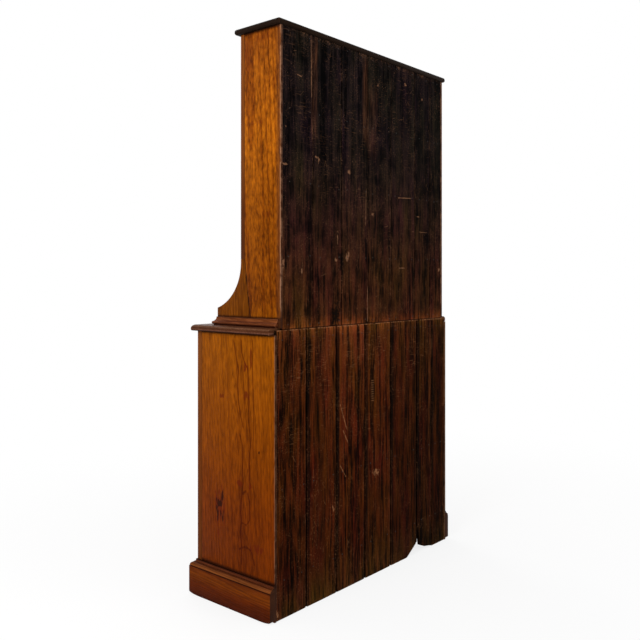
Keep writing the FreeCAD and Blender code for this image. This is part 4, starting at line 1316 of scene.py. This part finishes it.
@dataclass
class Backs:
    """The boards of one back, with their open seams and worn arrises.

    Args:
        stage: Which stage they close, base or rack.
        finish: Their stain.
        inner: Finish of the faces towards the room.
        tones: How light each board is.
        band: Strength of the dark band beside each seam, painted shade with soiling.
        seam: How dark the painted shade on the arris of a seam is.
        wear: Deepest wear of an arris.
        step: Height of one row of the wear mesh.
        insets: Distances of its columns from a board's sides.
        spread: Distance between its middle columns.
        rounding: How far from a side the wear reaches.
        lip: Width of the rubbed strip beside the inner arrises.
        cup: How far a board cups.
        skin: Depth over which a point still belongs to the outer face.
        brink: Distance within which a point counts as on an edge.
        shading_and_soiling: Width of that band.
        band_span: Levels where that band fades in and out.
        band_fades: Over how much height it does so.
        blunt: How far the ends of a board are worn back.
        heart: How far the heart lines differ along X, lie behind Y and differ in Z.
        deep: How dark the painted shade in a seam is just below the face, and how much darker a
            metre down.
        warp: Waves of the cup to a metre of height.
        ragged: Waves of the quick wear to a metre, across and in height.
        slow: The same for the slow wear.
    """

    stage: str
    finish: StainedBoards
    inner: Pine
    tones: tuple[float, ...]
    band: float
    seam: float = 0.75
    wear: float = 0.0022
    step: float = 0.016
    insets: tuple[float, ...] = (0.0015, 0.004, 0.0115, 0.0165)
    spread: float = 0.02
    rounding: float = 0.004
    lip: float = 0.0022
    cup: float = 0.0008
    skin: float = 0.0004
    brink: float = 0.0002
    shading_and_soiling: float = 0.012
    band_span: Pair = (0.12, 1.0)
    band_fades: Pair = (0.2, 0.06)
    blunt: float = 0.0006
    heart: Point = (0.06, -0.05, 3.0)
    deep: Pair = (0.55, 90.0)
    warp: float = 2.2
    ragged: Pair = (6.0, 26.0)
    slow: Pair = (3.0, 6.0)

    def build(self, shop: Workshop) -> None:
        """Make every board.

        Args:
            shop: The shared workshop.
        """
        for number in range(1, len(self.tones) + 1):
            name = "%s_back_board_%d" % (self.stage, number)
            part = Part(shop.nodes[name])
            self.weather(part, number)
            materials = [shop.plain(self.finish), shop.wood(self.inner, [Grain.Z])[0]]
            piece = part.finish("stained_" + name, materials)
            shop.place(piece, self.stage + "_back_boards", name)

    def weather(self, part: Part, number: int) -> None:
        """Cut a fine mesh over the board and wear it.

        Args:
            part: The board.
            number: Its number, which sets its own tone.
        """
        low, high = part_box(part.node.name)
        mesh = part.mesh
        outer = [vertex.co.x for vertex in mesh.verts if vertex.co.y > high.y - MERGE]
        inner = [vertex.co.x for vertex in mesh.verts if vertex.co.y < low.y + MERGE]
        sides, lips = (min(outer), max(outer)), (min(inner), max(inner))
        middle = sum(sides) / 2
        columns = [lips[0] + self.lip, lips[1] - self.lip]
        columns += [middle - self.spread, middle, middle + self.spread]
        columns += [side for inset in self.insets for side in (sides[0] + inset, sides[1] - inset)]
        part.cut(0, sorted(columns))
        rows = int((high.z - low.z) / self.step)
        part.cut(2, [low.z + self.step * (row + 0.5) for row in range(rows)])
        names = ("hollow", "arris", "seed", "tone")
        hollow, arris, seeds, tones = [mesh.verts.layers.float.new(name) for name in names]
        own = abs(noise.cell(Vector((number * 3.7, low.z * 5 + 1.3, 0.5)))) % 1
        hearts = mesh.faces.layers.float_vector.new("heart")
        x, y, z = self.heart
        heart = Vector((middle + x * (own - 0.5), low.y + y, z * own))
        for flat in mesh.faces:
            flat.normal_update()
            flat[hearts] = heart
            flat.material_index = int(flat.normal.y < -0.5)
        for vertex in mesh.verts:
            place = vertex.co.copy()
            vertex[seeds] = own
            vertex[tones] = self.tones[number - 1]
            depth = high.y - place.y
            # Points below the outer face, in the seams, get painted shade that deepens with depth.
            if depth > self.skin:
                vertex[hollow] = min(1.0, self.deep[0] + depth * self.deep[1])
                if place.y < low.y + MERGE:
                    gap = min(place.x - lips[0], lips[1] - place.x)
                    vertex[arris] = max(0.0, 1 - gap / self.lip)
                continue
            edge = min(place.x - sides[0], sides[1] - place.x)
            end = min(place.z - low.z, high.z - place.z)
            bend = ((place.x - middle) / (sides[1] - sides[0]) * 2) ** 2
            warp = noise.noise(Vector((own * 40, place.z * self.warp, 0)))
            near = max(0.0, 1 - edge / self.rounding)
            across, up = self.ragged
            rag = noise.noise(Vector((place.x * across, place.z * up, own * 70)))
            across, up = self.slow
            slow = noise.noise(Vector((place.x * across, place.z * up, own * 30 + 9)))
            bite = max(0.0, 0.3 + 0.6 * rag + 0.5 * slow) * self.wear
            vertex.co.y -= self.cup * bend * (0.6 + 0.4 * warp) + near * bite
            # Band beside the seam: painted shade with soiling, fading at its foot and head.
            if number > 1 and sides[1] - place.x < self.shading_and_soiling:
                foot = (place.z - self.band_span[0]) / self.band_fades[0]
                head = (self.band_span[1] - place.z) / self.band_fades[1]
                fade = min(1.0, max(0.0, foot), max(0.0, head))
                vertex[hollow] = self.band * (0.35 + 0.65 * fade) * (1 + 0.25 * slow)
            # The arris of a seam gets painted shade.
            if edge < self.brink:
                vertex.co.x += (1 if place.x < middle else -1) * bite * 0.8
                vertex[hollow] = max(vertex[hollow], self.seam)
            if end < self.brink:
                vertex.co.y -= self.blunt
            # Arrises on the low-X side of each board are paler: a painted highlight on top of the
            # wear.
            lit = 1.0 if place.x < middle else 0.4
            vertex[arris] = max(near * lit, 1.0 if end < self.rounding else 0.0)


@dataclass(frozen=True)
class HeadStyle:
    """Shape of one sort of nail or screw head.

    Args:
        name: Name of the sort.
        radius: Half its width.
        rise: How far it stands proud.
        slot: Width of its slot; 0 for a nail.
        corners: Corners of its outline.
    """

    name: str
    radius: float
    rise: float
    slot: float
    corners: int


@dataclass
class Heads:
    """Nail or screw heads of one body, set out by Geometry Nodes.

    Args:
        style: Their shape.
        places: Where they sit, each with the direction that they face.
        seed: Seed of their random turn.
    """

    style: HeadStyle
    places: Sequence[tuple[Vector, Vector]]
    seed: int = 4

    def tree(self) -> bpy.types.NodeTree:
        """Node group that puts one head on each point and turns it at random."""
        group = bpy.data.node_groups.new(self.style.name, "GeometryNodeTree")
        for title, way, kind in (
            ("Geometry", "INPUT", "Geometry"),
            ("Radius", "INPUT", "Float"),
            ("Rise", "INPUT", "Float"),
            ("Slot", "INPUT", "Float"),
            ("Seed", "INPUT", "Int"),
            ("Finish", "INPUT", "Material"),
            ("Geometry", "OUTPUT", "Geometry"),
        ):
            group.interface.new_socket(title, in_out=way, socket_type="NodeSocket" + kind)
        graph = Graph(group)
        given = graph.node("NodeGroupInput", out="Geometry")
        rise = given.other("Rise")
        blank = {"Vertices": self.style.corners, "Radius": given.other("Radius"), "Depth": rise}
        head = graph.node("GeometryNodeMeshCylinder", blank)
        if self.style.slot > 0:
            size = graph.vector(self.style.radius * 2.5, given.other("Slot"), rise)
            bar = graph.node("GeometryNodeMeshCube", {"Size": size})
            lift = {"Geometry": bar, "Translation": graph.vector(0, 0, rise)}
            pair = {0: head, 1: graph.node("GeometryNodeTransform", lift)}
            head = graph.node(
                "GeometryNodeMeshBoolean", pair, operation="DIFFERENCE", solver="EXACT"
            )
        name = {"Name": "aim"}
        aim = graph.node("GeometryNodeInputNamedAttribute", name, data_type="FLOAT_VECTOR")
        align = graph.node("FunctionNodeAlignEulerToVector", {"Vector": aim}, axis="Z")
        points = {"Points": given, "Instance": head, "Rotation": align}
        copies = graph.node("GeometryNodeInstanceOnPoints", points)
        span = {3: math.tau, "Seed": given.other("Seed")}
        chance = graph.node("FunctionNodeRandomValue", span, 1, data_type="FLOAT")
        spin = {"Instances": copies, "Rotation": graph.vector(0, 0, chance)}
        turned = graph.node("GeometryNodeRotateInstances", spin)
        real = graph.node("GeometryNodeRealizeInstances", {0: turned})
        paint = {"Geometry": real, "Material": given.other("Finish")}
        graph.node("NodeGroupOutput", {0: graph.node("GeometryNodeSetMaterial", paint)})
        return group

    def build(self, body: str, material: bpy.types.Material, slot: str) -> None:
        """Set the heads out and turn them into one plain mesh.

        Args:
            body: Body that they ride on.
            material: Their material.
            slot: The record's material slot; not used.
        """
        name = "%s_%s" % (self.style.name, body)
        points = bpy.data.meshes.new(name + "_points")
        points.from_pydata([place for place, _ in self.places], [], [])
        aims = points.attributes.new("aim", "FLOAT_VECTOR", "POINT")
        aims.data.foreach_set("vector", [part for _, aim in self.places for part in aim])
        carrier = stand(name + "_carrier", points)
        modifier = carrier.modifiers.new("heads", "NODES")
        group = self.tree()
        values = {
            "Radius": self.style.radius,
            "Rise": self.style.rise,
            "Slot": self.style.slot,
            "Seed": self.seed,
            "Finish": material,
        }
        modifier.node_group = group
        for item in group.interface.items_tree:
            if item.in_out == "INPUT" and item.name in values:
                modifier[item.identifier] = values[item.name]
        graph = bpy.context.evaluated_depsgraph_get()
        plain = bpy.data.meshes.new_from_object(carrier.evaluated_get(graph))
        plain.name = name
        bpy.data.objects.remove(carrier)
        bpy.data.node_groups.remove(group)
        piece = stand(name, plain)
        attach(piece, body)
        LOG.info("%s: %d heads", name, len(self.places))


@dataclass
class Fastenings:
    """Nails of the backs and screws of the hinges.

    Args:
        nail: Shape of the nail heads.
        screw: Shape of the screw heads.
        rows: Levels of the nails in each stage.
        edge: Least distance of a nail from a board's side.
        end: Least distance of a nail from a board's end.
        driven: How deep a nail's head is driven.
        stray: How far a nail strays across and in height.
        pin: X and Y of the hinge pins.
        parting: Half the gap between the leaves of a closed hinge.
        proud: How far a screw stands out of its leaf.
        feet: Levels where the hinges start.
        holes: Height over that and depth behind the pin of a leaf's screws.
    """

    nail: HeadStyle = HeadStyle("cut_nails", 0.0026, 0.0012, 0.0, 4)
    screw: HeadStyle = HeadStyle("slotted_screws", 0.0032, 0.0008, 0.0009, 20)
    rows: tuple[tuple[str, tuple[float, ...]], ...] = (
        ("base", (0.93, 0.43, 0.13)),
        ("rack", (1.966, 1.708, 1.459, 1.211, 0.98)),
    )
    edge: float = 0.03
    end: float = 0.01
    driven: float = 0.0004
    stray: Pair = (0.012, 0.008)
    pin: Pair = (0.473, -0.1645)
    parting: float = 0.00015
    proud: float = 0.00006
    feet: Pair = (0.224, 0.610)
    holes: tuple[Pair, ...] = ((0.0095, 0.006), (0.031, 0.0055), (0.0525, 0.006))

    def build(self, shop: Workshop) -> None:
        """Drive all nails and screws.

        Args:
            shop: The shared workshop.
        """
        iron = shop.plain(Iron("nail_iron", 0.1, 0.08))
        Heads(self.nail, self.nails()).build("carcass", iron, "iron")
        steel = shop.plain(Iron("screw_iron", 0.7, 0.4))
        for body, hands, leaf in (
            ("carcass", (1, -1), 1),
            ("door_right", (1,), -1),
            ("door_left", (-1,), -1),
        ):
            places = [place for hand in hands for place in self.leaf_screws(hand, leaf)]
            Heads(self.screw, places).build(body, steel, "iron")

    def leaf_screws(self, hand: int, leaf: int) -> list[tuple[Vector, Vector]]:
        """Places of the screws in the leaves of one door.

        Args:
            hand: 1 for the door on the right, -1 for the other.
            leaf: 1 for the fixed leaves, -1 for the moving ones.

        Returns:
            Centres of the heads, each with the way that it faces.
        """
        x, y = self.pin
        x = hand * (x + leaf * (self.parting + self.screw.rise / 2 - self.proud))
        aim = Vector((-hand * leaf, 0, 0))
        spots = [(y - deep, foot + up) for foot in self.feet for up, deep in self.holes]
        return [(Vector((x, *spot)), aim) for spot in spots]

    def nails(self) -> list[tuple[Vector, Vector]]:
        """Places of the nails of the back boards, each with the way that it faces."""
        found = []
        for stage, levels in self.rows:
            for number in range(1, 8):
                low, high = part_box("%s_back_board_%d" % (stage, number))
                sides = (low.x + self.edge, high.x - self.edge)
                held = [level for level in levels if low.z + self.end < level < high.z - self.end]
                for level, x in ((level, x) for level in held for x in sides):
                    shift = noise.noise_vector(Vector((x * 40, level * 11, number)))
                    x, z = x + shift.x * self.stray[0], level + shift.z * self.stray[1]
                    found.append((Vector((x, high.y - self.driven, z)), Vector((0, 1, 0))))
        return found


@dataclass
class Sides:
    """Base sides, rack sides and the shaped feet.

    Args:
        base_heart: A point of the heart line of the base side at +X.
        rack_heart: The same for the rack side.
    """

    base_heart: Point = (0.46, 0.052, 0.2)
    rack_heart: Point = (0.42, 0.09, 1.2)

    def build(self, shop: Workshop) -> None:
        """Make the sides."""
        for hand, sign in (("left", -1), ("right", 1)):
            self.base_side(shop, "base_side_" + hand, sign)
            x, y, z = self.rack_heart
            shop.joinery(RACK_SIDE, "rack_sides", "rack_side_" + hand, heart=(sign * x, y, z))
            shop.joinery(BRACKET, "rack_sides", "rack_bracket_" + hand)

    def base_side(self, shop: Workshop, node: str, sign: int) -> None:
        """Make one base side, varnished outside and bare towards the cupboard.

        Args:
            shop: The shared workshop.
            node: The side's node.
            sign: 1 for the side at +X, -1 for the other.
        """
        x, y, z = self.base_heart
        part = Part(shop.nodes[node]).ease(ARRIS).season((sign * x, y, z))
        finishes = shop.wood(BASE_SIDE, [Grain.Z]) + shop.wood(INSIDE, [Grain.Z])[:1]
        for face in part.mesh.faces:
            face.normal_update()
            if face.normal.x * sign < -0.5:
                face.material_index = len(finishes) - 1
        shop.place(part.finish("wood_" + node, finishes), "base_sides", node)


@dataclass
class Mouldings:
    """Plinth, mould at the foot of the rack, worktop and top board.

    Args:
        corner: X and Y of the plinth's outer front corner.
        rear: Y of the plinth's sawn ends.
        reach: How far from a corner the foot is worn.
        rise: How far the worn foot stands off the floor at the corner.
        shares: Where the cuts for it stand, as shares of the reach.
        plinth_arris: Width of the plinth's rounded arrises.
        mould_arris: The same for the mould.
        board_arris: The same for worktop and top board.
    """

    corner: Pair = (0.556, -0.2025)
    rear: float = 0.2045
    reach: float = 0.05
    rise: float = 0.008
    shares: tuple[float, ...] = (0.03, 0.12, 0.27, 0.48, 0.72, 1.0)
    plinth_arris: float = 0.0007
    mould_arris: float = 0.0006
    board_arris: float = 0.0008

    def build(self, shop: Workshop) -> None:
        """Make the mouldings and the boards with shaped edges."""
        for node in ("plinth_front", "plinth_returns"):
            part = Part(shop.nodes[node])
            self.scuff(part)
            part.ease(self.plinth_arris).season()
            piece = part.finish("wood_" + node, shop.wood(PLINTH_WITH_PAINTED_LIGHT, part.grains()))
            shop.place(piece, "plinth", node)
        moulds = ("rack_front_mould", "rack_side_moulds")
        shop.joinery(MOULD_WITH_PAINTED_LIGHT, "rack_moulding", *moulds, width=self.mould_arris)
        shop.joinery(WORKTOP_WITH_PAINTED_LIGHT, "worktop", "worktop", width=self.board_arris)
        shop.joinery(TOP, "top_board", "top_board", width=self.board_arris)

    def scuff(self, part: Part) -> None:
        """Wear the foot of the plinth round at its corners.

        Args:
            part: A piece of the plinth.
        """
        steps = [self.reach * share for share in self.shares]
        x, y = self.corner
        part.cut(0, [sign * (x - step) for sign in (-1, 1) for step in steps])
        part.cut(1, [y + step for step in steps] + [self.rear - step for step in steps])
        for vertex in part.mesh.verts:
            if vertex.co.z > MERGE:
                continue
            beside = abs(x - abs(vertex.co.x)) + abs(vertex.co.y - y)
            near = min(beside, self.rear - vertex.co.y)
            share = max(0.0, 1 - near / self.reach)
            vertex.co.z += self.rise * (1 - math.sqrt(max(0.0, 1 - share * share)))


@dataclass
class Front:
    """Face frame and rack front.

    Args:
        frame: Members of the face frame between the stiles.
    """

    frame: tuple[str, ...] = ("muntins", "top_rail", "drawer_blade", "bottom_rail")

    def build(self, shop: Workshop) -> None:
        """Make the frame members."""
        shop.joinery(STILE, "face_frame", "base_stiles")
        shop.joinery(FRONT_PINE, "face_frame", *self.frame)
        shop.joinery(STILE, "rack_sides", "rack_stiles")
        shop.joinery(VARNISHED, "rack_sides", "rack_frieze")


@dataclass
class Inside:
    """Shelves, floor and what guides the drawers.

    Args:
        shelves: Boards of the rack.
        plain: Boards and blocks inside the base.
    """

    shelves: tuple[str, ...] = (
        "rack_base_board", "rack_shelf_lower", "rack_shelf_middle", "rack_shelf_upper",
    )
    plain: tuple[str, ...] = (
        "base_floor", "cupboard_shelf", "drawer_runners", "drawer_guides", "drawer_kickers",
        "stop_blocks",
    )

    def build(self, shop: Workshop) -> None:
        """Make the inner boards."""
        shop.joinery(VARNISHED, "shelves", *self.shelves)
        shop.joinery(INSIDE, "plain_pine", *self.plain)


KNOB = Lathe((
    (0.0, -0.03), (0.005, -0.0299), (0.0095, -0.0295), (0.013, -0.0287), (0.0156, -0.0276),
    (0.0172, -0.0262), (0.0179, -0.0247), (0.0179, -0.0235), (0.0172, -0.0223), (0.0157, -0.0208),
    (0.0134, -0.0189), (0.0114, -0.0167), (0.0099, -0.0145), (0.0091, -0.0122), (0.009, -0.009),
    (0.0095, -0.0071), (0.0104, -0.006), (0.0118, -0.0052), (0.0127, -0.0043), (0.013, -0.003),
    (0.0129, -0.0003), (0.007, -0.0003), (0.007, 0.0194), (0.0064, 0.02), (0.0, 0.02),
))


@dataclass
class Moving:
    """Doors, drawers, hinges and catches.

    Args:
        front: Y of the drawer fronts.
        level: Height of the drawer knobs.
        spread: X of each drawer's two knobs, for the right hand.
        box_arris: Width of the rounded arrises of the boxes.
    """

    front: float = -0.1805
    level: float = 0.848
    spread: Pair = (0.142, 0.362)
    box_arris: float = 0.0005

    def build(self, shop: Workshop) -> None:
        """Make the moving pieces of both hands."""
        for hand, sign in (("left", -1), ("right", 1)):
            door, drawer = "door_" + hand, "drawer_" + hand
            shop.joinery(FRONT_PINE, "doors", door + "_frame", door + "_panel")
            shop.joinery(FRONT_PINE, "drawer_fronts", drawer + "_front")
            shop.joinery(BARE, "drawer_boxes", drawer + "_box", width=self.box_arris)
            for ending in ("_hinge_leaves", "_knob", "_latch"):
                self.metal(shop, door + ending)
            self.knobs(shop, drawer + "_knobs", sign)
        self.metal(shop, "hinge_fixed_leaves_and_pins")

    def metal(self, shop: Workshop, node: str) -> None:
        """Finish one iron node."""
        piece = Part(shop.nodes[node]).finish("iron_" + node, [shop.plain(Iron())])
        shop.place(piece, "iron", node)

    def knobs(self, shop: Workshop, node: str, sign: int) -> None:
        """Finish the turned knobs of one drawer."""
        places = [Vector((sign * x, self.front, self.level)) for x in self.spread]
        shop.place(KNOB.build("turned_" + node, places, shop.plain(Turned())), "knobs", node)


@dataclass
class Studio:
    """White floor, plain light and the camera of the picture.

    Args:
        eye: Place of the camera.
        turn: Its heading, in radians.
        lens: Focal length over the sensor.
        sensor: Width of the sensor, in millimetres.
        shift: Vertical shift of the picture.
        target: Point that the lamps face.
        room: Strength of the plain light on the object.
        half: Half the width of the floor.
    """

    eye: Point = (2.35811, 1.95985, 1.13988)
    turn: float = math.pi - 0.86352
    lens: float = 43.22
    sensor: float = 36.0
    shift: float = -0.0675
    target: Point = (0.0, 0.0, 1.0)
    room: float = 0.7
    half: float = 30.0

    def build(self) -> None:
        """Set up the world, the floor, the lamps and the camera."""
        self.world()
        self.floor()
        self.lamps()
        self.camera()
        bpy.context.scene.view_settings.view_transform = "Standard"

    def world(self) -> None:
        """White for what the camera sees, plain light for the object."""
        bpy.context.scene.world = bpy.data.worlds.new("room")
        graph = Graph(bpy.context.scene.world)
        strength = self.room + graph.seen() * (1 - self.room)
        light = graph.node("ShaderNodeBackground", {"Color": WHITE, "Strength": strength})
        graph.node("ShaderNodeOutputWorld", {0: light})

    def floor(self) -> None:
        """A large white floor that keeps the object's shadow."""
        graph = Graph(bpy.data.materials.new("white_floor"))
        diffuse = graph.node("ShaderNodeBsdfDiffuse", {"Color": (0.9, 0.9, 0.9, 1.0)})
        glow = graph.node("ShaderNodeEmission", {"Color": WHITE, "Strength": 1.0})
        x, y, _ = graph.split(graph.place())
        far = graph.smooth(0.7, 3.0, (x * x + y * y).root())
        parts = {0: graph.seen() * (0.8 + far * 0.2), 1: diffuse, 2: glow}
        graph.node("ShaderNodeOutputMaterial", {0: graph.node("ShaderNodeMixShader", parts)})
        data = bpy.data.meshes.new("floor")
        signs = ((-1, -1), (1, -1), (1, 1), (-1, 1))
        corners = [(self.half * across, self.half * along, 0) for across, along in signs]
        data.from_pydata(corners, [], [(0, 1, 2, 3)])
        data.materials.append(graph.owner)
        floor = stand("floor", data)

    def lamps(self) -> None:
        """Broad soft lamps: two for the picture's sides and a weaker one for the front."""
        for name, place, size, power in (
            ("key", (3.4, 0.6, 2.6), 2.2, 75.0),
            ("fill", (-0.6, 4.0, 2.4), 2.4, 40.0),
            ("front", (-1.5, -3.8, 2.3), 2.4, 45.0),
        ):
            data = bpy.data.lights.new(name, "AREA")
            data.shape, data.size, data.energy = "DISK", size, power
            lamp = stand(name, data)
            lamp.location = place
            aim = Vector(self.target) - Vector(place)
            lamp.rotation_euler = aim.to_track_quat("-Z", "Y").to_euler()

    def camera(self) -> None:
        """The camera of the picture."""
        data = bpy.data.cameras.new("camera")
        data.lens, data.sensor_width, data.shift_y = self.lens, self.sensor, self.shift
        data.clip_end = 200.0
        camera = stand("camera", data)
        camera.location = self.eye
        camera.rotation_euler = (math.pi / 2, 0.0, self.turn)
        bpy.context.scene.camera = camera


LIGHT_BROWN = tone(88, 52, 33)
TAN = tone(92, 47, 20)
SOOT = tone(9, 5, 3)
RACK_STAIN = StainedBoards(
    "rack_stain",
    stops(
        (0.0, 86, 42, 16), (0.02, 72, 35, 14), (0.045, 52, 26, 12), (0.15, 48, 24, 12),
        (0.35, 38, 21, 14), (0.55, 27, 18, 15), (0.68, 22, 16, 15), (1.0, 21, 16, 15),
    ),
    (0.963, 1.979),
    streaks=1.85,
    weights=(0.32, 0.22, 0.18, 0.28),
    rubbed=tone(132, 92, 66),
    pale=(
        *blots(
            (0.32, 1.559, 0.01, 0.004), (0.31, 1.549, 0.004, 0.008), (0.14, 1.525, 0.006, 0.005),
            (0.152, 1.2125, 0.008, 0.009), (0.144, 1.222, 0.004, 0.009),
            (0.207, 1.281, 0.003, 0.018), (0.2159, 1.2004, 0.005, 0.007),
            (0.4917, 1.1825, 0.005, 0.013), (0.4795, 1.644, 0.003, 0.003),
            (-0.0396, 1.8795, 0.003, 0.004), (-0.3488, 1.8757, 0.003, 0.005),
            (0.485, 1.517, 0.01, 0.003), (-0.0073, 1.38, 0.006, 0.005),
            (-0.3226, 1.388, 0.008, 0.002), (0.3994, 1.1597, 0.003, 0.007),
            (-0.482, 1.169, 0.006, 0.006), (-0.224, 1.914, 0.006, 0.006),
        ),
        *scratches(
            (-0.174, 1.455, -0.267, 1.46), (-0.18, 1.175, -0.224, 1.175),
            (0.425, 1.829, 0.399, 1.824), (0.027, 1.105, 0.027, 0.969),
            (0.3515, 1.965, 0.349, 1.76, 0.0012), (0.0345, 1.475, 0.04, 1.33, 0.0009),
            (-0.3261, 1.3253, -0.385, 1.3242, 0.001),
        ),
    ),
    dark=blots(
        (0.216, 1.002, 0.017, 0.037), (0.185, 1.2, 0.012, 0.03), (0.305, 1.562, 0.007, 0.006),
    ),
    bands=(
        Band(0.334, 0.021, 1.62, 1.98, LIGHT_BROWN),
        Band(0.040, 0.022, 1.64, 1.98, LIGHT_BROWN),
        Band(-0.005, 0.040, 1.60, 1.88, LIGHT_BROWN, 0.5),
        Band(-0.330, 0.035, 1.00, 1.32, LIGHT_BROWN, 0.3),
        Band(0.225, 0.050, 1.72, 1.86, SOOT, 0.7),
        Band(-0.220, 0.070, 1.50, 1.90, SOOT, 0.7),
        Band(0.280, 0.050, 1.24, 1.48, SOOT, 0.8),
        Band(0.075, 0.030, 0.97, 1.12, SOOT),
        Band(-0.120, 0.100, 0.97, 1.14, SOOT, 0.6),
    ),
    sawn=(1.2, 0.16),
    shade=0.9645,
    tinted=(1.1, 0.8),
)
BASE_STAIN = StainedBoards(
    "base_stain",
    stops(
        (0.0, 48, 27, 9), (0.06, 46, 22, 7), (0.16, 44, 16, 4), (0.3, 47, 17, 4),
        (0.6, 50, 19, 4), (0.85, 56, 24, 6), (0.96, 62, 29, 9), (1.0, 82, 42, 15),
    ),
    (0.0, 0.962),
    streaks=2.2,
    weights=(0.4, 0.3, 0.18, 0.12),
    rubbed=tone(140, 94, 62),
    pale=(
        *blots((-0.027, 0.39, 0.014, 0.012), (0.523, 0.028, 0.006, 0.01)),
        *scratches(
            (0.193, 0.679, 0.152, 0.578), (0.176, 0.582, 0.146, 0.5295),
            (0.193, 0.457, 0.158, 0.407), (0.236, 0.322, 0.228, 0.296, 0.002),
        ),
        Ticks(-0.0045, 0.0085, 0.66, 0.7465),
    ),
    bands=(
        Band(-0.405, 0.010, 0.35, 0.90, TAN),
        Band(0.025, 0.006, 0.12, 0.50, TAN),
        Band(-0.220, 0.012, 0.62, 0.88, TAN),
        Band(-0.410, 0.030, 0.04, 0.24, TAN, 0.5),
        Band(0.305, 0.035, 0.00, 0.93, SOOT, 0.9),
        Band(-0.050, 0.035, 0.25, 0.55, SOOT, 0.6),
        Band(-0.090, 0.080, 0.84, 0.94, SOOT, 0.6),
    ),
    dark=scratches((0.445, 0.96, 0.4445, 0.6, 0.0012)),
    rim=0.9605,
)
BASE_TONES = (0.85, 0.94, 1.03, 0.92, 0.58, 0.47, 0.45)
RACK_TONES = (1.08, 0.93, 0.96, 0.94, 0.83, 0.7, 0.73)


def main() -> None:
    """Build every sub-assembly in order."""
    logging.basicConfig(level=logging.INFO, format="%(name)s %(message)s")
    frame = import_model()
    shop = Workshop(frame)
    for assembly in (
        Backs("base", BASE_STAIN, INSIDE, BASE_TONES, band=0.85),
        Backs("rack", RACK_STAIN, FRONT_PINE, RACK_TONES, band=0.15, seam=0.45, wear=0.0012),
        Sides(),
        Mouldings(),
        Front(),
        Inside(),
        Moving(),
        Fastenings(),
    ):
        assembly.build(shop)
    Studio().build()


if __name__ == "__main__":
    main()
